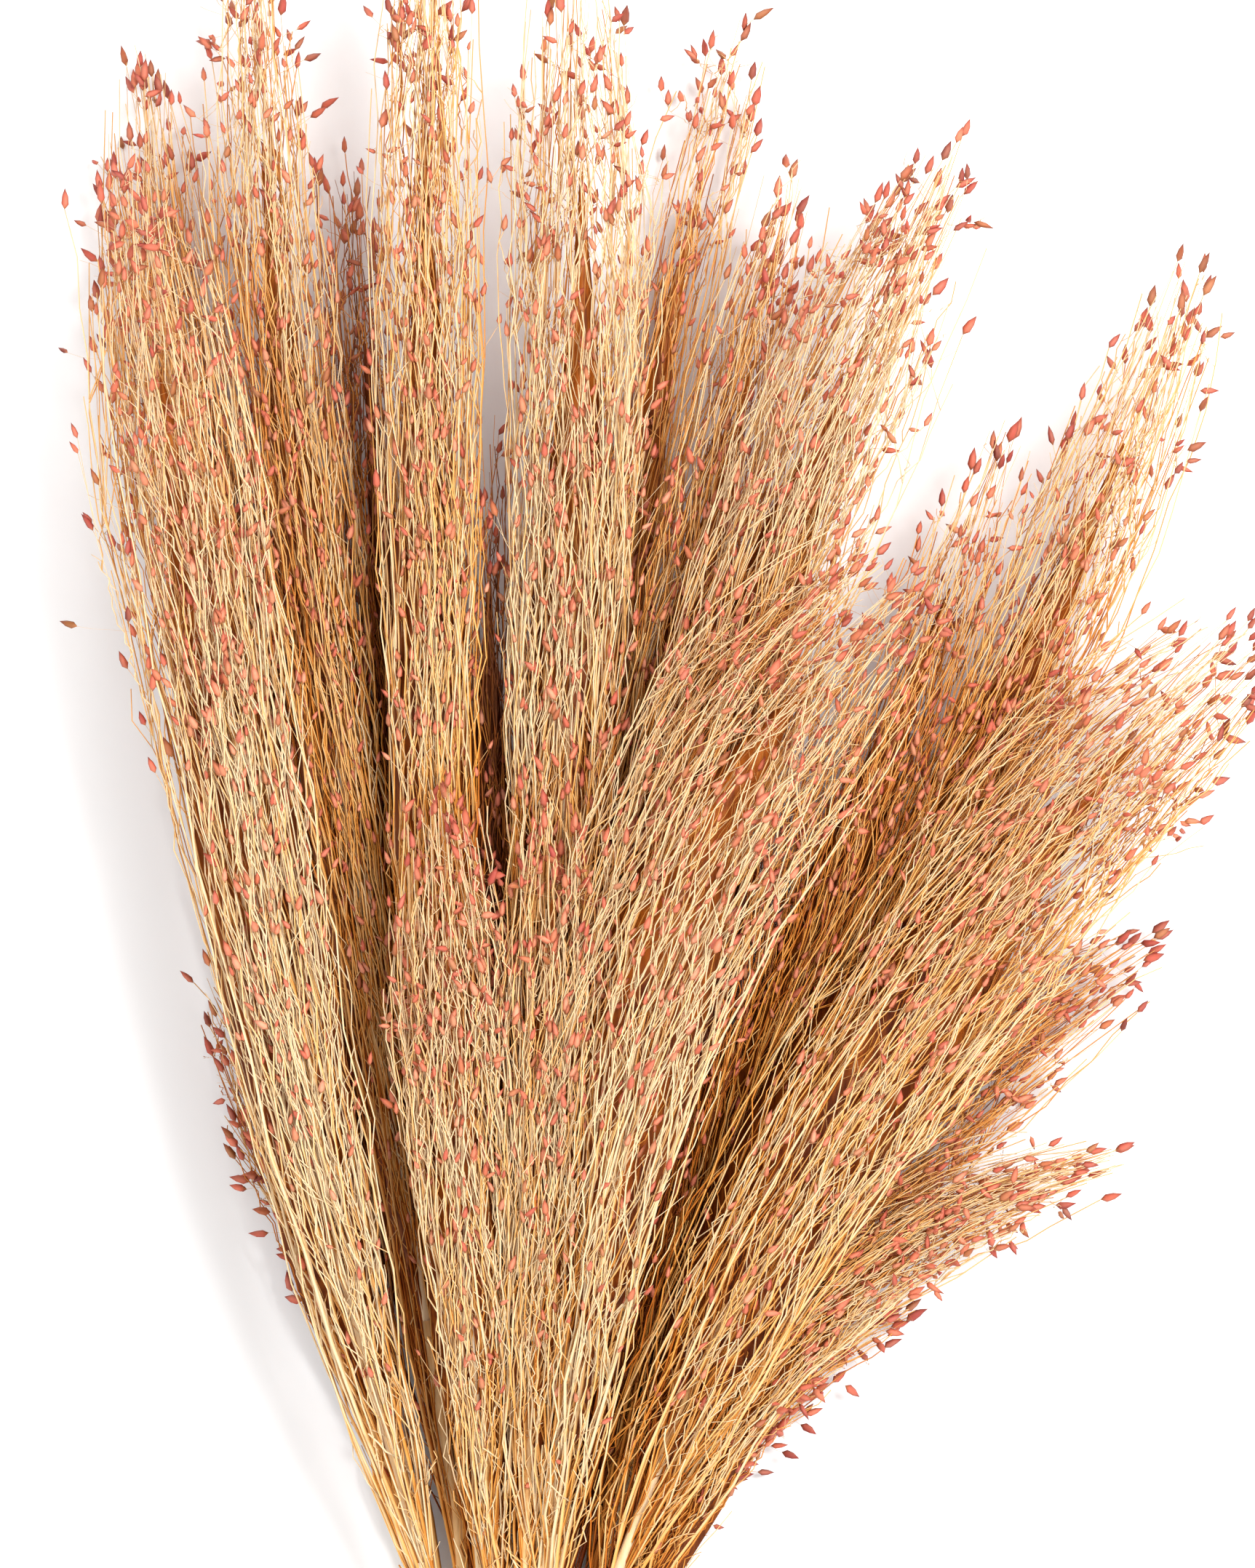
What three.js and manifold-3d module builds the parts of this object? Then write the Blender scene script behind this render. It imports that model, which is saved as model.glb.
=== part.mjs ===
// Dried panicum grass: a tied bunch of broom-like panicles that lies on a surface.
// Millimetres, +Z up. +Y runs from the cut stems to the tips, and +X is to the right seen from above.
// The origin is on the surface, under the middle of the bunch.
import * as THREE from "three";
import { mergeVertices } from "three/addons/utils/BufferGeometryUtils.js";
import Module from "manifold-3d";

const wasm = await Module();
wasm.setup();

// Stems, and where they stand in the tie
const STEM_RADIUS = 1.5;
const GAP = 0.3;
const STEM_PITCH = 2 * STEM_RADIUS + GAP;
const CUT_LENGTH = 125; // from the tie down to the cut ends
const CUT_LENGTH_SPREAD = 12;
const CUT_FLARE = 0.35; // how much of its lean a stem keeps below the tie, the other way

// The tie is a whipping of raffia, pulled tight round the stems
const TIE_WALL = 1.1;
const TIE_RIDGE = 0.3;
const TIE_TURNS = 5;
const TIE_TURN_WIDTH = 4.4;
const TIE_HALF = (TIE_TURNS * TIE_TURN_WIDTH) / 2;
const TIE_SIDES = 28;

// Heights: the panicles lie in four layers, which part as they leave the tie
const FIRST_STEM_Z = TIE_WALL + TIE_RIDGE + 2 * GAP + STEM_RADIUS;
const FIRST_HEAD_Z = 12;
const LAYER_RISE = 17;
const RISE_RUN = 220; // distance from the tie at which the layers are fully apart

// Heads. A share of 0 is where a head begins on its stem, and 1 is its tip
const FLATNESS = 0.46; // a head's thickness over its width, pressed by the ones above
const WIDEST_SHARE = 0.8;
const ROOT_WIDTH = 0.22; // of the full width, where the head begins
const TIP_WIDTH = 0.55; // of the full width, at the tip

// The dense rays inside a head are one fluted core. Each ridge runs on past the grooves to a point
const CORE_WIDTH = 0.72; // of the head's width
const CORE_RIDGES = 5;
const CORE_RINGS = 5; // up to where the grooves end, and more, by the bow, on one that bends sharply
const PRONG_RINGS = 2; // past that, where each ridge goes on alone
const CORE_LEAST = 1.4; // half the thickness that a core keeps between neighbours
const RIDGE_END = 0.98;
const RIDGE_END_SPREAD = 0.2;
const GROOVE_END = 0.62;
const GROOVE_RUN_OUT = 0.06;
const GROOVE_DEPTH = 0.5; // radius in a groove, of the radius on a ridge
const NEIGHBOUR_MARGIN = 1.12; // how far cores keep apart, over just touching

// Rays and spikelets, at true size
const RAY_RADIUS = 0.42;
const RAY_SIDES = 3;
const SPIKELET_LENGTH = 5.4;
const SPIKELET_RADIUS = 1.15;
const SPIKELET_BELLY = 0.4; // of its length, from its foot
const PEDICEL_LENGTH = 20;
const PEDICEL_SHARE = 0.4; // of the rays, that fork
const LOWEST_RAY_Z = 1.15;
const TRIES = 60;

// Each panicle: where its tip lies from the tie, its lean at the tie and at the tip in degrees to the
// right of +Y, its head's half width, the share of its length where the head begins, and its rays. A bow
// over 1 bends it more sharply between the two, and a draw changes its random numbers. Within a layer
// they run from left to right, which is also their order in the tie.
const layers = [
  [
    { name: "left_low", tip: [-88, 250], lean: [-15, -24], width: 12, from: 0.34, rays: 9 },
    { name: "left_back", tip: [-106, 500], lean: [-15, -6], width: 22, from: 0.15, rays: 13 },
    { name: "left_under", tip: [-76, 400], lean: [-9, -14], width: 16, from: 0.15, rays: 6 },
    { name: "left_inner", tip: [-49, 474], lean: [-5, -5], width: 15, from: 0.15, rays: 10 },
    { name: "mid_sparse", tip: [58, 512], lean: [2, 16], width: 18, from: 0.2, rays: 11 },
    { name: "right_back", tip: [170, 264], lean: [3, 58], width: 22, from: 0.15, bow: 1.2, rays: 12 },
    {
      name: "right_lowest", tip: [104, 162], lean: [15, 68], width: 13, from: 0.15, bow: 1.05, rays: 8,
      draw: 31,
    },
  ],
  [
    { name: "left_tall", tip: [-75, 532], lean: [-4, -2], width: 18, from: 0.15, rays: 12 },
    { name: "mid_under", tip: [-10, 400], lean: [-2, 0], width: 16, from: 0.15, rays: 6 },
    { name: "mid_right", tip: [73, 466], lean: [1, 14], width: 18, from: 0.15, rays: 10 },
    { name: "right_under", tip: [78, 335], lean: [6, 18], width: 15, from: 0.15, rays: 6 },
    { name: "right_slim", tip: [130, 397], lean: [10, 20], width: 18, from: 0.15, rays: 10, draw: 6 },
    { name: "right_tall", tip: [180, 442], lean: [10, 19], width: 21, from: 0.15, rays: 12, draw: 6 },
    {
      name: "right_low", tip: [156, 205], lean: [17, 76], width: 17, from: 0.15, bow: 1.35, rays: 10,
      draw: 6,
    },
  ],
  [
    { name: "mid_tall", tip: [-26, 538], lean: [-6, 1], width: 17, from: 0.15, rays: 11 },
    { name: "mid_high", tip: [15, 522], lean: [0, -2], width: 23, from: 0.15, rays: 14 },
    { name: "centre_high", tip: [112, 472], lean: [0, 25], width: 26, from: 0.15, rays: 14 },
    { name: "right_full", tip: [192, 344], lean: [10, 49], width: 34, from: 0.15, rays: 14 },
  ],
  [
    { name: "left_front", tip: [-104, 461], lean: [-16, -8], width: 25, from: 0.15, rays: 13 },
    { name: "mid_front", tip: [-22, 302], lean: [-6, -3], width: 18, from: 0.15, rays: 10, draw: 31 },
    { name: "centre_front", tip: [8, 304], lean: [-4, -1], width: 17, from: 0.15, rays: 7, draw: 42 },
    { name: "centre_full", tip: [100, 362], lean: [0, 48], width: 35, from: 0.15, rays: 13 },
  ],
];

const straw = new THREE.MeshStandardMaterial({ color: 0xd9ae6c, roughness: 0.85, metalness: 0 });
const raffia = new THREE.MeshStandardMaterial({ color: 0xc9a873, roughness: 0.8, metalness: 0 });

const clamp01 = (v) => Math.min(1, Math.max(0, v));
const smooth = (v) => THREE.MathUtils.smoothstep(v, 0, 1);
const mix = THREE.MathUtils.lerp;

// A seeded random number generator
function seeded(seed) {
  let state = seed >>> 0;
  return () => {
    state = (state + 0x6d2b79f5) >>> 0;
    let t = state;
    t = Math.imul(t ^ (t >>> 15), t | 1);
    t ^= t + Math.imul(t ^ (t >>> 7), t | 61);
    return ((t ^ (t >>> 14)) >>> 0) / 4294967296;
  };
}

// A closed skin over rings of points. Each ring joins the next, which may have twice as many points, and
// a ring of one point closes an end
function skin(rings) {
  const positions = [];
  const firsts = rings.map((ring) => {
    const first = positions.length / 3;
    ring.forEach((p) => positions.push(p.x, p.y, p.z));
    return first;
  });
  const index = [];
  for (let r = 0; r + 1 < rings.length; r++) {
    const [a, b] = [rings[r].length, rings[r + 1].length];
    for (let s = 0; s < Math.max(a, b); s++) {
      const share = (n, k) => Math.floor((k * n) / Math.max(a, b)) % n;
      const [low, lowNext] = [share(a, s), share(a, s + 1)].map((k) => firsts[r] + k);
      const [high, highNext] = [share(b, s), share(b, s + 1)].map((k) => firsts[r + 1] + k);
      if (low !== lowNext) index.push(low, high, lowNext);
      if (high !== highNext) index.push(lowNext, high, highNext);
    }
  }
  const last = rings.length - 1;
  for (let s = 1; s + 1 < rings[0].length; s++) index.push(firsts[0], firsts[0] + s, firsts[0] + s + 1);
  for (let s = 1; s + 1 < rings[last].length; s++) {
    index.push(firsts[last], firsts[last] + s + 1, firsts[last] + s);
  }
  const geometry = new THREE.BufferGeometry();
  geometry.setAttribute("position", new THREE.Float32BufferAttribute(positions, 3));
  geometry.setIndex(index);
  return geometry;
}

function solidOf(geometry) {
  const merged = mergeVertices(geometry, 1e-4);
  return new wasm.Manifold(
    new wasm.Mesh({
      numProp: 3,
      vertProperties: merged.attributes.position.array,
      triVerts: new Uint32Array(merged.index.array),
    }),
  );
}

// The largest body of a solid, as a three.js geometry
function geometryOf(solid) {
  const bodies = solid.decompose().sort((a, b) => b.volume() - a.volume());
  const mesh = bodies[0].getMesh();
  const geometry = new THREE.BufferGeometry();
  geometry.setAttribute("position", new THREE.Float32BufferAttribute(mesh.vertProperties, 3));
  geometry.setIndex(Array.from(mesh.triVerts));
  geometry.computeVertexNormals();
  return geometry;
}

// A ring of points round a centre, in the plane of two unit vectors
function ring(centre, side, up, sides, radiusAt) {
  return Array.from({ length: sides }, (_, s) => {
    const angle = (2 * Math.PI * s) / sides;
    const [across, above] = radiusAt(angle, s);
    return centre
      .clone()
      .addScaledVector(side, across * Math.cos(angle))
      .addScaledVector(up, above * Math.sin(angle));
  });
}

const headingAt = (leanDegrees) => {
  const lean = THREE.MathUtils.degToRad(leanDegrees);
  return new THREE.Vector3(Math.sin(lean), Math.cos(lean), 0);
};

// A panicle's height at a distance from the tie. Every layer rises by the same curve, so none cross
function heightAt(layer, distance) {
  const inTie = FIRST_STEM_Z + layer * STEM_PITCH;
  const inHead = FIRST_HEAD_Z + layer * LAYER_RISE;
  return mix(inTie, inHead, smooth((distance - TIE_HALF) / RISE_RUN));
}

// Puts a panicle in its place: its slot in the tie, and the curve of its stem and head
function laidOut(panicle, layer, place, count, seed) {
  const slot = new THREE.Vector3((place - (count - 1) / 2) * STEM_PITCH, TIE_HALF, 0);
  const tip = new THREE.Vector3(panicle.tip[0], panicle.tip[1], 0);
  const handle = tip.distanceTo(slot) / 3; // a Bezier handle's length
  const tipHandle = handle * (panicle.bow ?? 1);
  const plan = new THREE.CubicBezierCurve3(
    slot,
    slot.clone().addScaledVector(headingAt(panicle.lean[0]), handle),
    tip.clone().addScaledVector(headingAt(panicle.lean[1]), -tipHandle),
    tip,
  );
  // A share below 0 is stem, and one a little over 1 runs on past the tip
  const axisAt = (share) => {
    const u = mix(panicle.from, 1, share);
    const p = plan.getPoint(clamp01(u));
    if (u > 1) p.addScaledVector(headingAt(panicle.lean[1]), (u - 1) * 3 * tipHandle);
    p.z = heightAt(layer, Math.hypot(p.x, p.y));
    return p;
  };
  const frameAt = (share) => {
    const along = axisAt(share + 0.01).sub(axisAt(share - 0.01)).normalize();
    const side = new THREE.Vector3().crossVectors(along, new THREE.Vector3(0, 0, 1)).normalize();
    return { along, side, up: new THREE.Vector3().crossVectors(side, along) };
  };
  return { ...panicle, layer, slot, axisAt, frameAt, random: seeded(seed) };
}

// Half the width of a head at a share of its length
function widthAt(panicle, share) {
  const open = mix(ROOT_WIDTH, 1, clamp01(share / WIDEST_SHARE));
  const close = mix(1, TIP_WIDTH, clamp01((share - WIDEST_SHARE) / (1 - WIDEST_SHARE)) ** 2);
  return panicle.width * Math.min(open, close);
}

// Half the width and half the thickness of the core, with no regard to neighbours
function coreAt(panicle, share) {
  const half = CORE_WIDTH * widthAt(panicle, share);
  const fromStem = smooth(share / 0.12);
  return [mix(STEM_RADIUS, half, fromStem), mix(STEM_RADIUS, half * FLATNESS, fromStem)];
}

// How far a core has to shrink at a share so that it clears every other panicle's core
function roomAt(panicle, share, panicles) {
  const centre = panicle.axisAt(share);
  const [a, b] = coreAt(panicle, share);
  let room = 1;
  for (const other of panicles) {
    if (other === panicle) continue;
    for (let v = -0.3; v <= RIDGE_END; v += 0.02) {
      const [c, d] = coreAt(other, v);
      const away = other.axisAt(v).sub(centre);
      const apart = Math.hypot(Math.hypot(away.x, away.y) / (a + c), away.z / (b + d));
      room = Math.min(room, apart / NEIGHBOUR_MARGIN);
    }
  }
  return room;
}

// The stem from its cut end to the head, and on into the fluted core, as one skin
function stemAndCore(panicle, panicles) {
  const cutLength = CUT_LENGTH + CUT_LENGTH_SPREAD * (panicle.random() - 0.5);
  const down = headingAt(-CUT_FLARE * panicle.lean[0]).negate();
  const level = { side: new THREE.Vector3(1, 0, 0), up: new THREE.Vector3(0, 0, 1) };
  const stemRing = (centre, { side, up }) =>
    ring(centre, side, up, CORE_RIDGES, () => [STEM_RADIUS, STEM_RADIUS]);
  const aboveTie = panicle.slot.clone().setZ(FIRST_STEM_Z + panicle.layer * STEM_PITCH);
  const belowTie = aboveTie.clone().setY(-TIE_HALF);
  const cutEnd = belowTie.clone().addScaledVector(down, cutLength);
  cutEnd.z += STEM_RADIUS + GAP / 3 - FIRST_STEM_Z;
  const rings = [cutEnd, belowTie, aboveTie].map((centre) => stemRing(centre, level));
  const fromTie = -panicle.from / (1 - panicle.from);
  for (const share of [0.5 * fromTie, 0]) rings.push(stemRing(panicle.axisAt(share), panicle.frameAt(share)));

  // Even points are on ridges, each of which ends where it likes, and odd ones are in the grooves
  const ends = Array.from({ length: 2 * CORE_RIDGES }, (_, s) =>
    s % 2 ? GROOVE_END + GROOVE_RUN_OUT : RIDGE_END - RIDGE_END_SPREAD * panicle.random(),
  );
  const ringCount = Math.round(CORE_RINGS * (panicle.bow ?? 1));
  for (let r = 1; r <= ringCount + PRONG_RINGS; r++) {
    const pastGrooves = Math.max(0, (r - ringCount) / PRONG_RINGS);
    rings.push(
      ends.map((end, s) => {
        const share = pastGrooves ? mix(GROOVE_END, end, pastGrooves) : (GROOVE_END * r) / ringCount;
        const { side, up } = panicle.frameAt(share);
        const room = roomAt(panicle, share, panicles);
        const groove = mix(1, GROOVE_DEPTH, smooth(share / 0.3)) * (1 - 0.6 * pastGrooves);
        const depth = s % 2 ? groove : 1;
        const [a, b] = coreAt(panicle, share).map((half) => Math.max(half * room, CORE_LEAST) * depth);
        return ring(panicle.axisAt(share), side, up, ends.length, () => [a, b])[s];
      }),
    );
  }
  rings.push([panicle.axisAt(GROOVE_END + 1.5 * GROOVE_RUN_OUT)]);
  return skin(rings);
}

// A ray along points, three-sided, that ends in a spikelet
function ray(points, roll) {
  const last = points.length - 1;
  const along = points[last].clone().sub(points[last - 1]).normalize();
  const side = new THREE.Vector3().crossVectors(along, new THREE.Vector3(0, 0, 1)).normalize();
  const up = new THREE.Vector3().crossVectors(side, along);
  side.applyAxisAngle(along, roll);
  up.applyAxisAngle(along, roll);
  const thin = () => [RAY_RADIUS, RAY_RADIUS];
  const belly = () => [SPIKELET_RADIUS, SPIKELET_RADIUS];
  const rings = points.map((p) => ring(p, side, up, RAY_SIDES, thin));
  const bellyAt = points[last].clone().addScaledVector(along, SPIKELET_BELLY * SPIKELET_LENGTH);
  rings.push(ring(bellyAt, side, up, RAY_SIDES, belly));
  rings.push([points[last].clone().addScaledVector(along, SPIKELET_LENGTH)]);
  return skin(rings);
}

// Which places other panicles already take, as balls in a grid of cells
const CELL = 10;
const taken = new Map();
const cellOf = (p) => [p.x, p.y, p.z].map((v) => Math.floor(v / CELL));

function take(point, radius, owner, inside) {
  const key = cellOf(point).join();
  if (!taken.has(key)) taken.set(key, []);
  taken.get(key).push({ point: point.clone(), radius, owner, inside });
}

// What lies inside its own panicle may cross the rest of it, and nothing else may
function isClear(point, radius, owner, inside) {
  const [i, j, k] = cellOf(point);
  for (let x = i - 1; x <= i + 1; x++) {
    for (let y = j - 1; y <= j + 1; y++) {
      for (let z = k - 1; z <= k + 1; z++) {
        for (const ball of taken.get([x, y, z].join()) ?? []) {
          if (ball.owner === owner && (inside || ball.inside)) continue;
          if (ball.point.distanceTo(point) < ball.radius + radius + GAP) return false;
        }
      }
    }
  }
  return true;
}

// Balls along a line of points, a millimetre apart
function* ballsAlong(points, radius, inside) {
  for (let i = 0; i + 1 < points.length; i++) {
    const steps = Math.ceil(points[i].distanceTo(points[i + 1]));
    for (let s = 0; s <= steps; s++) {
      yield { point: points[i].clone().lerp(points[i + 1], s / steps), radius, inside };
    }
  }
}

// A core's balls stand side by side over its width, and a stem's in single file
function takeCore(panicle, panicles) {
  const steps = 160;
  const fromTie = -panicle.from / (1 - panicle.from);
  for (let s = 0; s <= steps; s++) {
    const share = mix(fromTie, RIDGE_END, s / steps);
    const room = share > 0 ? roomAt(panicle, share, panicles) : 1;
    const [half, thick] = coreAt(panicle, share).map((v) => v * room);
    const spare = Math.max(0, half - thick);
    const across = Math.ceil((2 * spare) / thick);
    for (let k = 0; k <= across; k++) {
      const aside = across ? spare * ((2 * k) / across - 1) : 0;
      const centre = panicle.axisAt(share).addScaledVector(panicle.frameAt(share).side, aside);
      take(centre, thick, panicle.name, true);
    }
  }
}

// A point in a head: its share of the length, how far out it is, and its angle round the axis
function inHead(panicle, share, out, angle) {
  const { side, up } = panicle.frameAt(share);
  const half = widthAt(panicle, Math.min(share, 1)) * out;
  const p = panicle
    .axisAt(share)
    .addScaledVector(side, half * Math.cos(angle))
    .addScaledVector(up, half * FLATNESS * Math.sin(angle));
  p.z = Math.max(p.z, LOWEST_RAY_Z);
  return p;
}

// One ray and the pedicel that forks off it, or nothing where they would cross another panicle
function tryRay(panicle, turn) {
  const { random } = panicle;
  const angle = turn + 0.7 * (random() - 0.5);
  const end = 1.04 - 0.62 * random() ** 1.3;
  const start = Math.max(0.03, Math.min(end - 0.36, GROOVE_END - 0.08) - 0.1 * random());
  const out = end > 0.9 ? mix(0.4, 1.1, random()) : mix(0.85, 1.12, random());
  const wave = () => 0.16 * (random() - 0.5);
  const points = [
    inHead(panicle, start, 0, angle),
    inHead(panicle, mix(start, end, 0.4), Math.max(CORE_WIDTH + 0.12, 0.8 * out), angle + wave()),
    inHead(panicle, end, out, angle + wave()),
  ];
  const forkFrom = points[1].clone().lerp(points[2], mix(0.3, 0.6, random()));
  const forkWay = points[2].clone().sub(points[1]).normalize();
  const aside = panicle.frameAt(end).side.multiplyScalar(0.3 * (random() < 0.5 ? -1 : 1));
  const pedicelEnd = forkFrom.clone().addScaledVector(forkWay.add(aside).normalize(), PEDICEL_LENGTH);
  pedicelEnd.z = Math.max(pedicelEnd.z + 2 * (random() - 0.5), LOWEST_RAY_Z);
  const lines = random() < PEDICEL_SHARE ? [points, [forkFrom, pedicelEnd]] : [points];
  const balls = lines.flatMap((line) => {
    const last = line.length - 1;
    const way = line[last].clone().sub(line[last - 1]).normalize();
    const spikeletEnd = line[last].clone().addScaledVector(way, SPIKELET_LENGTH);
    return [
      ...ballsAlong(line.slice(0, last), RAY_RADIUS, true),
      ...ballsAlong(line.slice(last - 1), RAY_RADIUS, false),
      ...ballsAlong([line[last], spikeletEnd], SPIKELET_RADIUS, false),
    ];
  });
  if (!balls.every(({ point, radius, inside }) => isClear(point, radius, panicle.name, inside))) return null;
  balls.forEach(({ point, radius, inside }) => take(point, radius, panicle.name, inside));
  return lines.map((line) => ray(line, 2 * Math.PI * random()));
}

// The rays of a panicle, even on all sides by the golden angle
function raysOf(panicle) {
  const golden = Math.PI * (3 - Math.sqrt(5));
  const rays = [];
  for (let k = 0; k < panicle.rays; k++) {
    for (let t = 0; t < TRIES; t++) {
      const found = tryRay(panicle, golden * (k + t));
      if (!found) continue;
      rays.push(...found);
      break;
    }
  }
  return rays;
}

// A band pulled tight round the stems: its distance from the middle of the tie, in each direction, is the
// least that any straight edge touching the stems allows
function tightBand(stems, middle) {
  const directions = Array.from({ length: 72 }, (_, k) => (k * Math.PI) / 36);
  const edges = directions.map((d) => ({
    d,
    far: STEM_RADIUS + 2 * GAP + Math.max(
      ...stems.map((p) => (p.x - middle.x) * Math.cos(d) + (p.z - middle.z) * Math.sin(d)),
    ),
  }));
  return (angle) => {
    const facing = edges.filter(({ d }) => Math.cos(angle - d) > 0.05);
    return Math.min(...facing.map(({ d, far }) => far / Math.cos(angle - d)));
  };
}

function raffiaTie(panicles) {
  const stems = panicles.map((p) => p.slot.clone().setZ(FIRST_STEM_Z + p.layer * STEM_PITCH));
  const middle = new THREE.Vector3(0, 0, FIRST_STEM_Z + 1.5 * STEM_PITCH);
  const band = tightBand(stems, middle);
  const profile = [[-TIE_HALF, 0]];
  for (let k = 0; k < TIE_TURNS; k++) {
    const start = -TIE_HALF + k * TIE_TURN_WIDTH;
    profile.push([start, TIE_WALL], [start + TIE_TURN_WIDTH / 2, TIE_WALL + TIE_RIDGE]);
  }
  profile.push([TIE_HALF, TIE_WALL], [TIE_HALF, 0]);
  const positions = [];
  const index = [];
  for (let s = 0; s < TIE_SIDES; s++) {
    const angle = (2 * Math.PI * s) / TIE_SIDES;
    for (const [y, thick] of profile) {
      const r = band(angle) + thick;
      positions.push(middle.x + r * Math.cos(angle), y, middle.z + r * Math.sin(angle));
    }
  }
  const n = profile.length;
  for (let s = 0; s < TIE_SIDES; s++) {
    const next = (s + 1) % TIE_SIDES;
    for (let k = 0; k < n; k++) {
      const [a, b] = [s * n + k, s * n + ((k + 1) % n)];
      const [c, d] = [next * n + k, next * n + ((k + 1) % n)];
      index.push(a, b, c, b, d, c);
    }
  }
  const geometry = new THREE.BufferGeometry();
  geometry.setAttribute("position", new THREE.Float32BufferAttribute(positions, 3));
  geometry.setIndex(index);
  return geometry;
}

function namedMesh(name, geometry, material) {
  const mesh = new THREE.Mesh(geometry, material);
  mesh.name = name;
  return mesh;
}

const panicles = layers.flatMap((layer, l) =>
  layer.map((panicle, place) => {
    const seed = 100 * l + place + (panicle.draw ?? 7);
    return laidOut(panicle, l, place, layer.length, seed);
  }),
);
const bodies = panicles.map((panicle) => solidOf(stemAndCore(panicle, panicles)));
panicles.forEach((panicle) => takeCore(panicle, panicles));

const bunch = new THREE.Group();
panicles.forEach((panicle, i) => {
  const whole = raysOf(panicle).reduce((all, one) => all.add(solidOf(one)), bodies[i]);
  bunch.add(namedMesh("panicle_" + panicle.name, geometryOf(whole), straw));
});
bunch.add(namedMesh("raffia_tie", raffiaTie(panicles), raffia));

// The middle of the bunch's underside becomes the origin
const box = new THREE.Box3().setFromObject(bunch);
bunch.position.set(-(box.min.x + box.max.x) / 2, -(box.min.y + box.max.y) / 2, -box.min.z);

const part = new THREE.Group();
part.add(bunch);
export default part;
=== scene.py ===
# %% [markdown]
# # A dried panicum bunch, strand by strand
#
# Twenty-two broom-like panicles lie fanned out on a pale table, tied with raffia. The solids hold the
# form of each panicle: its stem, its mass and its outermost rays. This lesson grows the fine grass over
# that form. Everything is worked out with numpy as whole arrays and put into meshes, one panicle at a time.

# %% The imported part, and its sizes
import math

import bpy
import numpy as np
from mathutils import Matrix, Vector


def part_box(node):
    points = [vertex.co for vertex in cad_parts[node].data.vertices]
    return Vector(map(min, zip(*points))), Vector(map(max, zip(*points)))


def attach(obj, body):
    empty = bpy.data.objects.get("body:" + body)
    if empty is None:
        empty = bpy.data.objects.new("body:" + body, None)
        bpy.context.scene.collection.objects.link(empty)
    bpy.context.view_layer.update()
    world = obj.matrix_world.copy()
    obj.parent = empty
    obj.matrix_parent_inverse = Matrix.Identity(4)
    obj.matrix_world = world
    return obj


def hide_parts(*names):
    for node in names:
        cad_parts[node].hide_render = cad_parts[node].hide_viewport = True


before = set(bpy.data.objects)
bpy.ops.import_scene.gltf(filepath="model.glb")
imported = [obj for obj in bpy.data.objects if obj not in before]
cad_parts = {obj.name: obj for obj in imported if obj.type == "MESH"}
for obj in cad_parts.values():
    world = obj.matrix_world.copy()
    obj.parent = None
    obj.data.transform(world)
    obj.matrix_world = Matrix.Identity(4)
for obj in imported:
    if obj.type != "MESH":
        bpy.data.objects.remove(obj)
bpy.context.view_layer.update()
MM = 0.001
tie_low, tie_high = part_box("raffia_tie")
TIE_MIDDLE = np.array([(tie_low.x + tie_high.x) / 2, (tie_low.y + tie_high.y) / 2, 0.0])
TIE_HALF = (tie_high.y - tie_low.y) / 2

# %% [markdown]
# ## The panicles
#
# Each panicle keeps the curve that its solid has: a Bezier curve in plan from the tie to the tip, at the
# height of its layer. The table repeats the driving values of the part: where the tip lies from the tie,
# the lean at the tie and at the tip, the head's half width, and where on its length the head begins.
# `bow` bends it more sharply near the tip. The last three are this scene's own: `tint` is how grey and
# pale the straw is, `lift` is painted light and shade that makes a head lighter or, where it is below 0,
# deeper and more golden, and `fill` is how many rays it has beside the others. Heads with a lift below
# SHADED lie in the shade of the rest.

# %% Their driving values
STEM_RADIUS = 1.5 * MM
STEM_PITCH = 3.3 * MM
FIRST_STEM_Z = 3.5 * MM
FIRST_HEAD_Z = 12 * MM
LAYER_RISE = 17 * MM
RISE_RUN = 220 * MM
FLATNESS = 0.46
WIDEST_SHARE = 0.8
ROOT_WIDTH = 0.36
TIP_WIDTH = 0.72
SHADED = -0.25
LENGTH_SAMPLES = 60

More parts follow.
